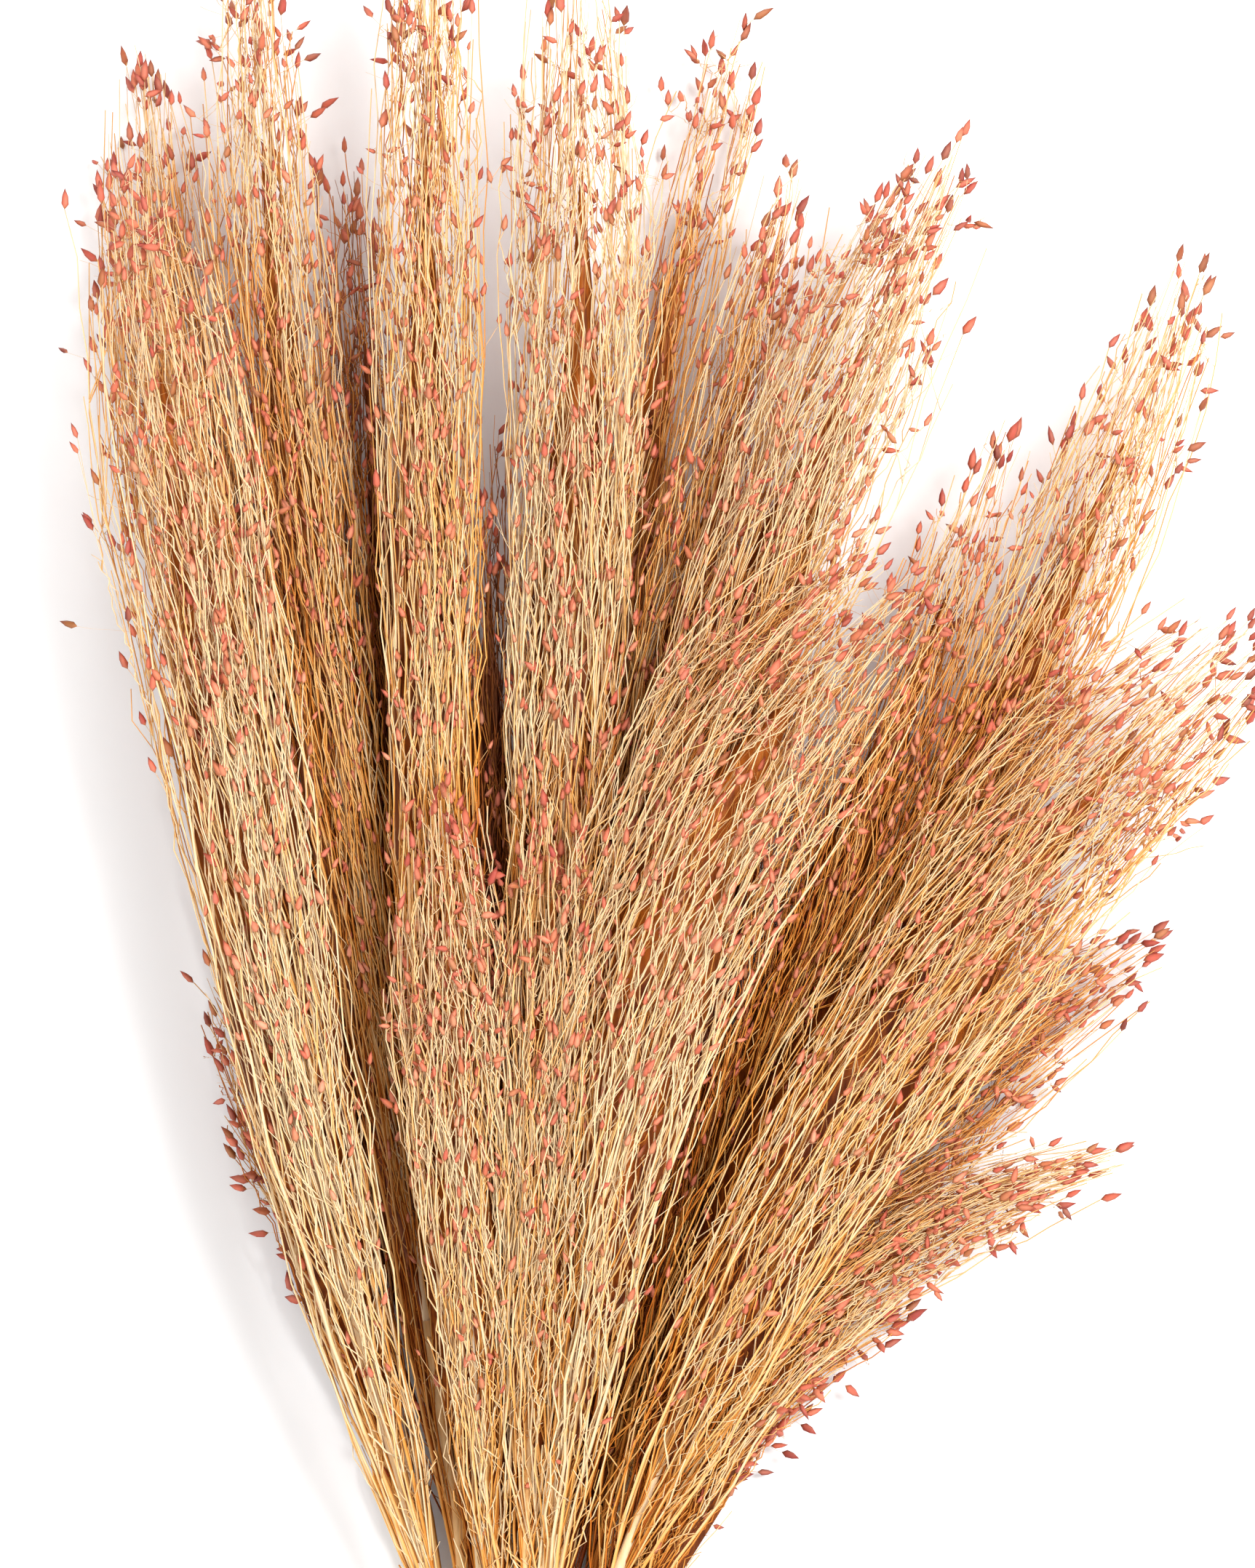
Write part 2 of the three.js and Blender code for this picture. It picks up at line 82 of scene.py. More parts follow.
COLUMNS = ("name", "tip", "lean", "width", "begin", "bow", "tint", "lift", "fill")
LAYERS = [
    [
        ("left_low", (-88, 250), (-15, -24), 12, 0.34, 1, 0.2, -0.02, 0.45),
        ("left_back", (-106, 500), (-15, -6), 22, 0.15, 1, 0.35, 0.04, 1.15),
        ("left_under", (-76, 400), (-9, -14), 16, 0.15, 1, 0.0, -0.34, 0.6),
        ("left_inner", (-49, 474), (-5, -5), 15, 0.15, 1, 0.05, -0.3, 0.7),
        ("mid_sparse", (58, 512), (2, 16), 18, 0.2, 1, 0.2, 0.0, 0.6),
        ("right_back", (170, 264), (3, 58), 22, 0.15, 1.2, 0.0, -0.08, 1.2),
        ("right_lowest", (104, 162), (15, 68), 13, 0.15, 1.05, 0.1, -0.04, 0.55),
    ],
    [
        ("left_tall", (-75, 532), (-4, -2), 18, 0.15, 1, 0.15, 0.0, 1.1),
        ("mid_under", (-10, 400), (-2, 0), 16, 0.15, 1, 0.0, -0.34, 0.55),
        ("mid_right", (73, 466), (1, 14), 18, 0.15, 1, 0.1, -0.02, 0.85),
        ("right_under", (78, 335), (6, 18), 15, 0.15, 1, 0.0, -0.3, 0.6),
        ("right_slim", (130, 397), (10, 20), 18, 0.15, 1, 0.05, -0.08, 0.9),
        ("right_tall", (180, 442), (10, 19), 21, 0.15, 1, 0.0, -0.02, 1.05),
        ("right_low", (156, 205), (17, 76), 17, 0.15, 1.35, 0.1, -0.02, 1.0),
    ],
    [
        ("mid_tall", (-26, 538), (-6, 1), 17, 0.15, 1, 0.05, -0.08, 1.1),
        ("mid_high", (15, 522), (0, -2), 23, 0.15, 1, 0.2, 0.06, 1.2),
        ("centre_high", (112, 472), (0, 25), 26, 0.15, 1, 0.12, 0.14, 1.2),
        ("right_full", (192, 344), (10, 49), 34, 0.15, 1, 0.05, -0.05, 1.5),
    ],
    [
        ("left_front", (-104, 461), (-16, -8), 25, 0.15, 1, 0.25, 0.04, 1.35),
        ("mid_front", (-22, 302), (-6, -3), 18, 0.15, 1, 0.18, 0.0, 0.95),
        ("centre_front", (8, 304), (-4, -1), 17, 0.15, 1, 0.1, 0.0, 0.7),
        ("centre_full", (100, 362), (0, 48), 35, 0.15, 1, 0.06, 0.1, 1.4),
    ],
]


def mix(low, high, share):
    """The value a share of the way from low to high."""
    return low + (high - low) * share


def smooth(value):
    """A value held between 0 and 1, and eased at both ends: 3 v squared less 2 v cubed."""
    v = np.clip(value, 0, 1)
    return v * v * (3 - 2 * v)


def heading(lean_degrees):
    """The unit vector in plan that leans that many degrees to the right of +Y."""
    lean = math.radians(lean_degrees)
    return np.array([math.sin(lean), math.cos(lean)])


def bezier(controls, u):
    """Points on the cubic curve of four control points: their mean by the weights of (1 less u, u) cubed."""
    a, b, c, d = controls
    return (1 - u) ** 3 * a + 3 * (1 - u) ** 2 * u * b + 3 * (1 - u) * u**2 * c + u**3 * d


def laid_out(panicle, layer, place, count):
    """The panicle with the four control points of its curve in plan, and its heights at tie and head. The
    two in the middle stand a third of the way from the ends, along the leans. The length is the sum of
    the curve's short chords."""
    start = np.array([(place - (count - 1) / 2) * STEM_PITCH, TIE_HALF])
    end = np.array(panicle["tip"]) * MM
    third = np.linalg.norm(end - start) / 3
    into_tip = heading(panicle["lean"][1]) * third * panicle["bow"]
    controls = np.array([start, start + heading(panicle["lean"][0]) * third, end - into_tip, end])
    along = np.linspace(0, 1, LENGTH_SAMPLES)[:, None]
    length = np.linalg.norm(np.diff(bezier(controls, along), axis=0), axis=1).sum()
    return dict(
        panicle, layer=layer, slot=start, controls=controls, into_tip=into_tip, length=length,
        in_tie=FIRST_STEM_Z + layer * STEM_PITCH, in_head=FIRST_HEAD_Z + layer * LAYER_RISE,
    )


PANICLES = [
    laid_out(dict(zip(COLUMNS, panicle)), layer, place, len(row))
    for layer, row in enumerate(LAYERS)
    for place, panicle in enumerate(row)
]
print(len(PANICLES), "panicles in", len(LAYERS), "layers")

# %% [markdown]
# ## A head as a flow
#
# The rays of a panicle leave the stem at sharp angles and then run nearly side by side, like hairs in a
# brush. Simulating that is slow. A flow is quicker: a point in a head is a share of its length and a place
# in its cross-section, measured in half widths. A ray that keeps its place follows the head's outline all
# the way, so rays never tangle unless they are told to.

# %% The flow
def axis_at(panicle, share):
    """Points on the middle line: the Bezier curve in plan, straight on past the tip. Its height goes from
    that in the tie to that of the layer, eased over RISE_RUN."""
    u = mix(panicle["begin"], 1, np.asarray(share))[..., None]
    held = np.clip(u, 0, 1)
    plan = bezier(panicle["controls"], held) + (u - held) * 3 * panicle["into_tip"]
    risen = smooth((np.linalg.norm(plan, axis=-1) - TIE_HALF) / RISE_RUN)
    height = mix(panicle["in_tie"], panicle["in_head"], risen)
    return np.concatenate([plan, height[..., None]], axis=-1) + TIE_MIDDLE


def unit(v):
    """Each vector at length 1."""
    return v / np.linalg.norm(v, axis=-1, keepdims=True)


SHORT_STEP = 0.01


def frame_at(panicle, share):
    """Three unit vectors on the middle line: along it, by the difference of two points a short step away,
    level to its side, and up across it."""
    along = unit(axis_at(panicle, share + SHORT_STEP) - axis_at(panicle, share - SHORT_STEP))
    side = unit(np.cross(along, [0, 0, 1]))
    return along, side, np.cross(side, along)


def head_length(panicle):
    """The length of a head, in metres: the curve's own length less the part below the head."""
    return panicle["length"] * (1 - panicle["begin"])


def width_at(panicle, share):
    """Half a head's width: it opens evenly up to its widest place and closes a little by its tip. Heads in
    the shade of others spread more at the root, because nothing holds them together there."""
    root = ROOT_WIDTH - min(panicle["lift"], 0)
    opened = mix(root, 1, np.clip(share / WIDEST_SHARE, 0, 1))
    closed = mix(1, TIP_WIDTH, np.clip((share - WIDEST_SHARE) / (1 - WIDEST_SHARE), 0, 1) ** 2)
    return panicle["width"] * MM * np.minimum(opened, closed)


def in_head(panicle, share, place):
    """Points in a head: from the middle line, place half widths to the side and, flattened, upwards."""
    _, side, up = frame_at(panicle, share)
    half = width_at(panicle, share)[..., None]
    return axis_at(panicle, share) + half * (side * place[..., :1] + up * FLATNESS * place[..., 1:])


# %% [markdown]
# ## Depth in the bunch
#
# Straw deep in the bunch is painted golden brown, as painted shade, and what lies open is painted paler,
# as painted light. A coarse map of how high the bunch stands tells the one from the other: a point far
# below the heads round it is deep. The same map tells the outline, where few of the cells round a point
# are covered.

# %% How deep a point lies
CELL = 3 * MM
MAP_CELLS = (130, 280)
MAP_CORNER = TIE_MIDDLE[:2] - [0.195, 0.06]
MAP_BLUR = 5
MAP_SAMPLES = (260, 31)
OPEN_ABOVE = 4 * MM
SHADE_RUN = 22 * MM
INSIDE = 0.98
OUTLINE_RUN = 0.4


def cells_of(points):
    """The map's column and row for each point."""
    found = ((points[..., :2] - MAP_CORNER) / CELL).astype(int)
    return np.clip(found[..., 0], 0, MAP_CELLS[0] - 1), np.clip(found[..., 1], 0, MAP_CELLS[1] - 1)


def height_map():
    """Two maps, as means over the cells up to MAP_BLUR away: the height of the highest head over each cell,
    among covered ones, and the share of cells that a head covers."""
    heights = np.zeros(MAP_CELLS)
    samples = np.linspace(0, 1, MAP_SAMPLES[0]), np.linspace(-1, 1, MAP_SAMPLES[1])
    share, across = np.meshgrid(*samples, indexing="ij")
    place = np.stack([across, np.sqrt(1 - across**2)], -1)
    for panicle in PANICLES:
        points = in_head(panicle, share, place)
        np.maximum.at(heights, cells_of(points), points[..., 2])
    total, covered = heights, (heights > 0).astype(float)
    for axis in (0, 1):
        shifts = range(-MAP_BLUR, MAP_BLUR + 1)
        total = sum(np.roll(total, shift, axis) for shift in shifts)
        covered = sum(np.roll(covered, shift, axis) for shift in shifts)
    return total / np.maximum(covered, 1), covered / (2 * MAP_BLUR + 1) ** 2


HEIGHTS, COVERED = height_map()
print("heads stand up to", round(HEIGHTS.max() / MM), "mm high on the map")


def openness(points):
    """1 for points in the open, 0 for those deeper than SHADE_RUN, eased between."""
    return smooth(1 + (points[..., 2] - HEIGHTS[cells_of(points)] - OPEN_ABOVE) / SHADE_RUN)


def bareness(points):
    """1 for points at the bunch's outline or outside it, 0 for those well inside, eased between."""
    return smooth((INSIDE - COVERED[cells_of(points)]) / OUTLINE_RUN)


# %% [markdown]
# ## Meshes from arrays
#
# A strand is a triangle carried along its path. At half a millimetre across, three sides with smooth
# shading look round, and a head has room for up to a thousand of them. A spikelet is a small closed
# spindle of three or four sides. Both are put together as arrays of corners, face sizes and values, for
# many at once, and every shape is closed, with its faces outward.

# %% Tubes and spindles
FLOOR_GAP = 0.1 * MM
HUSK_FLATNESS = 0.8
OFF_AXIS = [0.3, 0.2, 1.0]
triangle_count = {}


def tubes(paths, radii, side, up, sides=3):
    """Closed tubes. Round each point of a path stands a ring, radius times cosine to the side plus sine up.
    Four-cornered faces join one ring to the next, and one flat face closes each end."""
    count, points = paths.shape[:2]
    turn = 2 * np.pi * np.arange(sides) / sides
    ring = side[:, :, None, :] * np.cos(turn)[:, None] + up[:, :, None, :] * np.sin(turn)[:, None]
    vertices = paths[:, :, None, :] + radii[:, :, None, None] * ring
    number = np.arange(count * points * sides).reshape(count, points, sides)
    low, high = number[:, :-1], number[:, 1:]
    quads = np.stack([low, high, np.roll(high, -1, 2), np.roll(low, -1, 2)], -1).reshape(-1)
    ends = np.concatenate([number[:, 0], number[:, -1, ::-1]]).reshape(-1)
    sizes = np.concatenate([np.full(len(quads) // 4, 4), np.full(2 * count, sides)])
    return dict(vertices=vertices.reshape(-1, 3), corners=np.concatenate([quads, ends]), sizes=sizes)


def spindles(feet, ways, lengths, profile, radius, bend, sides=5):
    """Closed spindles from their feet along their ways. The profile gives shares of the length and of the
    radius. The middle line bends by the square of the share, and a point closes each end. The side is the
    way crossed with a direction that no way has."""
    count = len(feet)
    side = unit(np.cross(ways, OFF_AXIS))
    up = np.cross(side, ways)
    shares = np.array([share for share, _ in profile])
    girths = np.array([girth for _, girth in profile])
    lean = side * bend[:, :1] + up * bend[:, 1:]

    def middle(t):
        """Points on the middle lines: the foot, and the length times way t and lean t squared."""
        return feet[:, None] + lengths[:, None, None] * (ways[:, None] * t + lean[:, None] * t * t)

    turn = 2 * np.pi * np.arange(sides) / sides
    flat = HUSK_FLATNESS * up[:, None, None, :]
    ring = side[:, None, None, :] * np.cos(turn)[:, None] + flat * np.sin(turn)[:, None]
    centres = middle(shares[None, :, None])
    rings = centres[:, :, None, :] + (radius[:, None] * girths)[:, :, None, None] * ring
    foot, tip = middle(np.zeros((1, 1, 1))), middle(np.ones((1, 1, 1)))
    vertices = np.concatenate([foot, rings.reshape(count, len(profile) * sides, 3), tip], axis=1)
    each = 2 + len(profile) * sides
    number = 1 + np.arange(len(profile) * sides).reshape(len(profile), sides)
    low, high = number[:-1], number[1:]
    quads = np.stack([low, high, np.roll(high, -1, 1), np.roll(low, -1, 1)], -1).reshape(-1)
    first = np.stack([np.zeros(sides, int), number[0], np.roll(number[0], -1)], -1).reshape(-1)
    last = np.stack([number[-1], np.full(sides, each - 1), np.roll(number[-1], -1)], -1).reshape(-1)
    one = np.concatenate([quads, first, last])
    corners = (np.arange(count)[:, None] * each + one).reshape(-1)
    sizes = np.tile(np.concatenate([np.full(len(quads) // 4, 4), np.full(2 * sides, 3)]), count)
    return dict(vertices=vertices.reshape(-1, 3), corners=corners, sizes=sizes)


def put_mesh(name, shapes, material):
    """One object from several arrays of shapes, smooth shaded, with each of their values as an attribute.
    Corners that would go below the table are lifted to it."""
    starts = np.cumsum([0] + [len(shape["vertices"]) for shape in shapes])
    vertices = np.concatenate([shape["vertices"] for shape in shapes])
    vertices[:, 2] = np.maximum(vertices[:, 2], FLOOR_GAP)
    corners = np.concatenate([shape["corners"] + start for shape, start in zip(shapes, starts)])
    sizes = np.concatenate([shape["sizes"] for shape in shapes])
    mesh = bpy.data.meshes.new(name)
    mesh.vertices.add(len(vertices))
    mesh.vertices.foreach_set("co", vertices.astype(np.float32).reshape(-1))
    mesh.loops.add(len(corners))
    mesh.loops.foreach_set("vertex_index", corners.astype(np.int32))
    mesh.polygons.add(len(sizes))
    mesh.polygons.foreach_set("loop_start", (np.cumsum(sizes) - sizes).astype(np.int32))
    mesh.polygons.foreach_set("use_smooth", np.ones(len(sizes), bool))
    mesh.update(calc_edges=True)
    for key in shapes[0]["values"]:
        attribute = mesh.attributes.new(key, "FLOAT", "POINT")
        together = np.concatenate([shape["values"][key] for shape in shapes])
        attribute.data.foreach_set("value", together.astype(np.float32))
    mesh.materials.append(material)
    made = bpy.data.objects.new(name, mesh)
    bpy.context.scene.collection.objects.link(made)
    triangle_count[name] = int(np.sum(sizes - 2))
    return made


print("husks are", HUSK_FLATNESS, "as high as they are wide")

# %% [markdown]
# ## Materials
#
# Dried straw runs from cream to a deep golden brown. Where the tone follows depth, golden brown deep in
# the bunch and cream in the open are painted shade and light. Each strand has its own tone, kept as a
# vertex attribute, because a head shows hundreds of strands that differ. A shared node group turns a tone
# into a colour and breaks it up along the strand with noise. Spikelets read how far along they are,
# because they are tan at the foot, coral in the belly and dark red at the point.

# %% Shared node groups
def group(name, inputs, outputs):
    """An empty shader node group with those float inputs and those outputs, and its two end nodes."""
    tree = bpy.data.node_groups.new(name, "ShaderNodeTree")
    for socket, value in inputs:
        tree.interface.new_socket(socket, in_out="INPUT", socket_type="NodeSocketFloat").default_value = value
    for socket, kind in outputs:
        tree.interface.new_socket(socket, in_out="OUTPUT", socket_type=kind)
    return tree, tree.nodes.new("NodeGroupInput"), tree.nodes.new("NodeGroupOutput")


def noise(tree, scale, detail, stretch=(1, 1, 1)):
    """A noise texture on Object coordinates, stretched by a Mapping node. The scale is per metre."""
    where = tree.nodes.new("ShaderNodeTexCoord")
    mapping = tree.nodes.new("ShaderNodeMapping")
    mapping.inputs["Scale"].default_value = stretch
    texture = tree.nodes.new("ShaderNodeTexNoise")
    texture.inputs["Scale"].default_value = scale
    texture.inputs["Detail"].default_value = detail
    tree.links.new(where.outputs["Object"], mapping.inputs["Vector"])
    tree.links.new(mapping.outputs["Vector"], texture.inputs["Vector"])
    return texture.outputs["Fac"]


def maths(tree, operation, a, b):
    """A Math node on two sockets or numbers, held between 0 and 1."""
    node = tree.nodes.new("ShaderNodeMath")
    node.operation = operation
    node.use_clamp = True
    for socket, value in zip(node.inputs, (a, b)):
        if isinstance(value, (int, float)):
            socket.default_value = value
        else:
            tree.links.new(value, socket)
    return node.outputs[0]


def ramp(tree, value, stops):
    """A colour ramp through stops of place and sRGB hex colour, driven by a value."""
    node = tree.nodes.new("ShaderNodeValToRGB")
    elements = node.color_ramp.elements
    while len(elements) < len(stops):
        elements.new(0.5)
    for element, (place, colour) in zip(elements, stops):
        element.position = place
        element.color = (*linear(colour), 1)
    tree.links.new(value, node.inputs["Fac"])
    return node.outputs["Color"]


def linear(colour):
    """Linear red, green and blue of a six-figure hex colour, by the sRGB power curve."""
    parts = np.array([int(colour[i : i + 2], 16) for i in (0, 2, 4)]) / 255
    return tuple(np.where(parts <= 0.04045, parts / 12.92, ((parts + 0.055) / 1.055) ** 2.4))


def colour_sockets(node):
    """A Mix node's colour inputs and output, which share their names with its number sockets."""
    return node.inputs[6], node.inputs[7], node.outputs[2]


def mixed_colours(tree, share, a, b):
    """A Mix node that blends colour a with colour b by a share, each a socket, a number or a hex colour."""
    node = tree.nodes.new("ShaderNodeMix")
    node.data_type = "RGBA"
    first, second, result = colour_sockets(node)
    for socket, value in ((node.inputs[0], share), (first, a), (second, b)):
        if isinstance(value, str):
            socket.default_value = (*linear(value), 1)
        elif isinstance(value, (int, float)):
            socket.default_value = value
        else:
            tree.links.new(value, socket)
    return result


def straw_group():
    """Straw: a tone and a tint in, a colour and a height out. Blotches of about a centimetre shift the tone
    by up to 0.18 either way. Streaks along the bunch lift it by up to 0.3 of their strength, less 0.12.
    The tint washes the golden colours out to the pale ones, and tips take a quarter of a peach colour."""
    tree, start, end = group(
        "Straw tones",
        [("Tone", 0.5), ("Tint", 0.0), ("Tip", 0.0), ("Streaks", 1.0)],
        [("Colour", "NodeSocketColor"), ("Height", "NodeSocketFloat")],
    )
    blotches = noise(tree, 70, 3)
    streaks = noise(tree, 900, 2, (1, 0.06, 1))
    shifted = maths(tree, "ADD", start.outputs["Tone"], maths(tree, "MULTIPLY", blotches, 0.36))
    shifted = maths(tree, "SUBTRACT", shifted, 0.18)
    fine = maths(tree, "MULTIPLY", maths(tree, "MULTIPLY", streaks, start.outputs["Streaks"]), 0.3)
    shifted = maths(tree, "SUBTRACT", maths(tree, "ADD", shifted, fine), 0.12)
    golden = ramp(tree, shifted, STRAW_STOPS)
    pale = ramp(tree, shifted, PALE_STOPS)
    washed = mixed_colours(tree, start.outputs["Tint"], golden, pale)
    near_tip = maths(tree, "MULTIPLY", start.outputs["Tip"], 0.25)
    peach = mixed_colours(tree, near_tip, washed, TIP_COLOUR)
    tree.links.new(peach, end.inputs["Colour"])
    tree.links.new(streaks, end.inputs["Height"])
    return tree


STRAW_STOPS = [
    (0.0, "6e2e08"), (0.18, "c06618"), (0.38, "e2983e"), (0.58, "ecb870"), (0.78, "e6cca0"), (1.0, "e8e0d0"),
]
PALE_STOPS = [(0.0, "7c3e12"), (0.3, "c68a44"), (0.6, "e4c492"), (1.0, "e8e0d0")]
TIP_COLOUR = "e0a878"
straw_tones = straw_group()
print("straw runs through", len(STRAW_STOPS), "golden stops and", len(PALE_STOPS), "pale ones")


# %% Straw, spikelet and raffia
def attribute(tree, name):
    """The value of a vertex attribute."""
    node = tree.nodes.new("ShaderNodeAttribute")
    node.attribute_name = name
    return node.outputs["Fac"]


def surface(name, roughness):
    """A new material with a plain Principled BSDF, and its tree and shader. Dried plants shine little."""
    material = bpy.data.materials.new(name)
    material.use_nodes = True
    shader = material.node_tree.nodes["Principled BSDF"]
    shader.inputs["Roughness"].default_value = roughness
    shader.inputs["Specular IOR Level"].default_value = 0.2
    return material, material.node_tree, shader


def bumped(tree, shader, height, strength, distance):
    """A Bump node from a height to the shader's normal."""
    node = tree.nodes.new("ShaderNodeBump")
    node.inputs["Strength"].default_value = strength
    node.inputs["Distance"].default_value = distance
    tree.links.new(height, node.inputs["Height"])
    tree.links.new(node.outputs["Normal"], shader.inputs["Normal"])


def straw_material(name, streaks, roughness, bump):
    """Straw that reads its strands' tone, tint and closeness to a tip."""
    material, tree, shader = surface(name, roughness)
    tones = tree.nodes.new("ShaderNodeGroup")
    tones.node_tree = straw_tones
    tones.inputs["Streaks"].default_value = streaks
    for socket in ("Tone", "Tint", "Tip"):
        tree.links.new(attribute(tree, socket.lower()), tones.inputs[socket])
    tree.links.new(tones.outputs["Colour"], shader.inputs["Base Color"])
    bumped(tree, shader, tones.outputs["Height"], bump, 0.2 * MM)
    return material


def spikelet_material():
    """Spikelets: tan at the foot for a fifth of the length, the belly's own tone between, and dark red from
    the middle to the point. One husk is up to 0.3 paler than the other, a painted highlight, and a few
    spikelets are brown."""
    material, tree, shader = surface("spikelet husk", 0.5)
    along = attribute(tree, "along")
    belly = ramp(tree, attribute(tree, "tone"), HUSK_STOPS)
    browned = mixed_colours(tree, attribute(tree, "brown"), belly, BROWN_COLOUR)
    foot = maths(tree, "SUBTRACT", 0.8, maths(tree, "MULTIPLY", along, 4.0))
    toned = mixed_colours(tree, foot, browned, FOOT_COLOUR)
    # painted highlight: one husk is paler than the other
    pale = maths(tree, "MULTIPLY", attribute(tree, "husk"), 0.3)
    toned = mixed_colours(tree, pale, toned, HIGHLIGHT_HUSK_COLOUR)
    point = maths(tree, "MULTIPLY", maths(tree, "SUBTRACT", along, 0.5), 1.2)
    toned = mixed_colours(tree, point, toned, POINT_COLOUR)
    tree.links.new(toned, shader.inputs["Base Color"])
    bumped(tree, shader, noise(tree, 1800, 2), 0.3, 0.1 * MM)
    return material


HUSK_STOPS = [(0.0, "e69c7a"), (0.22, "dc7a5a"), (0.45, "c8604a"), (0.7, "a8423a"), (1.0, "6e2c24")]
FOOT_COLOUR = "c98e58"
POINT_COLOUR = "8a2a22"
BROWN_COLOUR = "94602c"
HIGHLIGHT_HUSK_COLOUR = "e6a184"
RAYS = straw_material("straw ray", 0.5, 0.55, 0.15)
STEMS = straw_material("straw stem", 1.0, 0.45, 0.35)
HUSKS = spikelet_material()
RAFFIA = straw_material("raffia ribbon", 1.0, 0.6, 0.6)
print("materials:", [m.name for m in (RAYS, STEMS, HUSKS, RAFFIA)])

# %% [markdown]
# ## Rays
#
# A real ray never runs quite straight: it has slow waves, quicker ones, and a kink at each joint where a
# side branch left it, now to one side and now to the other. All of that is one shift, worked out for many
# rays at once and added across their paths.

# %% Waves and kinks
SLOW_WAVE = (40, 100)  # the shortest and the longest, in millimetres
QUICK_WAVE = (16, 36)
RIPPLE = 0.75  # the quick wave's size, beside the kinks
JITTER = 0.3  # how far off their line the kinks stray, beside their size


def around(turn):
    """The unit vector of each angle in the cross-section."""
    return np.stack([np.cos(turn), np.sin(turn)], -1)


def swayed(panicle, rng, shares, paths, length, sway, kink):
    """Paths shifted to the side and upwards by a slow sine, a quicker and smaller one, and kinks of
    alternating sign, all growing from nothing at the root over a third of the ray. Length is each path's
    own, and sets how many waves it has."""
    count, points = shares.shape
    t = np.linspace(0, 1, points)[None, :, None]
    shift = np.zeros((count, points, 2))
    for span, amount in ((SLOW_WAVE, sway), (QUICK_WAVE, RIPPLE * kink)):
        wave = rng.uniform(*span, (count, 1, 2)) * MM
        phase = rng.uniform(0, 2 * np.pi, (count, 1, 2))
        turns = np.sin(2 * np.pi * t * length[:, None, None] / wave + phase) - np.sin(phase)
        shift += amount * turns * rng.uniform(0.2, 1, (count, 1, 2))
    turn = rng.uniform(0, 2 * np.pi, (count, 1)) + rng.normal(0, 0.5, (count, points))
    size = kink * rng.uniform(0.1, 1, (count, points)) * (-1.0) ** np.arange(points)
    zigzag = size[..., None] * around(turn)
    shift = (shift + zigzag + JITTER * kink * rng.normal(size=zigzag.shape)) * np.minimum(1, 3 * t)
    _, side, up = frame_at(panicle, shares)
    return paths + side * shift[..., :1] + up * shift[..., 1:]


def held_in(places, limit):
    """Places in the cross-section, pulled in to a limit where they lie past it."""
    return places / np.maximum(1, np.linalg.norm(places, axis=-1, keepdims=True) / limit)


print("a ray of 200 mm has", 200 // SLOW_WAVE[1], "to", 200 // SLOW_WAVE[0], "slow waves")

# %% [markdown]
# ## Main rays
#
# Main rays leave the stem low in the head and follow the flow to their ends. Their feet are close together
# and their ends far apart, as in a brush. A few stalks leave lower still and open slowly.

# %% Main rays
FIRST_RAY = 52 * MM
LAST_ROOT = 0.36
OPENING_RUN = 60 * MM
MAIN_END = 1.02
MAIN_END_SPREAD = 0.36
SHORTEST_MAIN = 0.35
DRIFT = 0.26
MAIN_LIMIT = 0.95
MAIN_SWAY = 1.6 * MM


def main_rays(panicle, rng, count, points, half, first=FIRST_RAY, spread=None, run=OPENING_RUN, kink=0.8):
    """Main rays: from the stem out to a place of their own in the upper half of the section, or the lower
    where half is -1. They reach it by the time they are run long, and then drift across to another by the
    square of the share. Their feet are low down, from first on, over a spread or up to LAST_ROOT."""
    lowest = (first / panicle["length"] - panicle["begin"]) / (1 - panicle["begin"])
    highest = LAST_ROOT if spread is None else lowest + spread
    root = mix(lowest, highest, rng.random(count) ** 1.4)
    end = np.maximum(MAIN_END - MAIN_END_SPREAD * rng.random(count), root + SHORTEST_MAIN)
    place = around(rng.uniform(0, 2 * np.pi, count)) * np.sqrt(rng.uniform(0.08, 0.86, count))[:, None]
    place[:, 1] = half * abs(place[:, 1])
    drift = rng.normal(0, DRIFT, (count, 2))
    t = np.linspace(0, 1, points)
    length = (end - root) * head_length(panicle)
    shares = root[:, None] + (end - root)[:, None] * t
    opened = smooth(0.05 + t * length[:, None] / run)
    places = place[:, None] * opened[..., None] + drift[:, None] * t[None, :, None] ** 2
    places = held_in(places, MAIN_LIMIT)
    paths = swayed(panicle, rng, shares, in_head(panicle, shares, places), length, MAIN_SWAY, kink * MM)
    return dict(shares=shares, places=places, paths=paths)


trial = main_rays(PANICLES[0], np.random.default_rng(0), 5, 12, 1)
aside = (trial["paths"][:, -1, 0] - TIE_MIDDLE[0]) / MM
print("five rays of the first head end aside by mm:", np.round(aside))

# %% [markdown]
# ## Forks
#
# All the rest fork off a parent. A fork leaves at an open angle and then bends back to run beside its
# neighbours, or, as a pedicel, runs straight out. A head that narrowed to one point would look like a
# brush dipped in paint, so forks end over a long stretch, and sooner at the head's sides than in its middle.

# %% Forks
LAST_END = 1.045
END_SPREAD = 72 * MM
DOME = 45 * MM  # how much sooner the rays at a head's sides end
FORK_LIMITS = (0.7, 1.1)
REJOIN = 0.4  # the share of a fork over which its start fades into the flow
SWAY_SHARE = 0.012
MOST_SWAY = 1.1 * MM


def picked(values, parent, spot):
    """Values of parents at a spot between two of their points, by straight interpolation."""
    low = np.floor(spot).astype(int)
    high = np.minimum(low + 1, values.shape[1] - 1)
    part = (spot - low)[(...,) + (None,) * (values.ndim - 2)]
    return values[parent, low] * (1 - part) + values[parent, high] * part


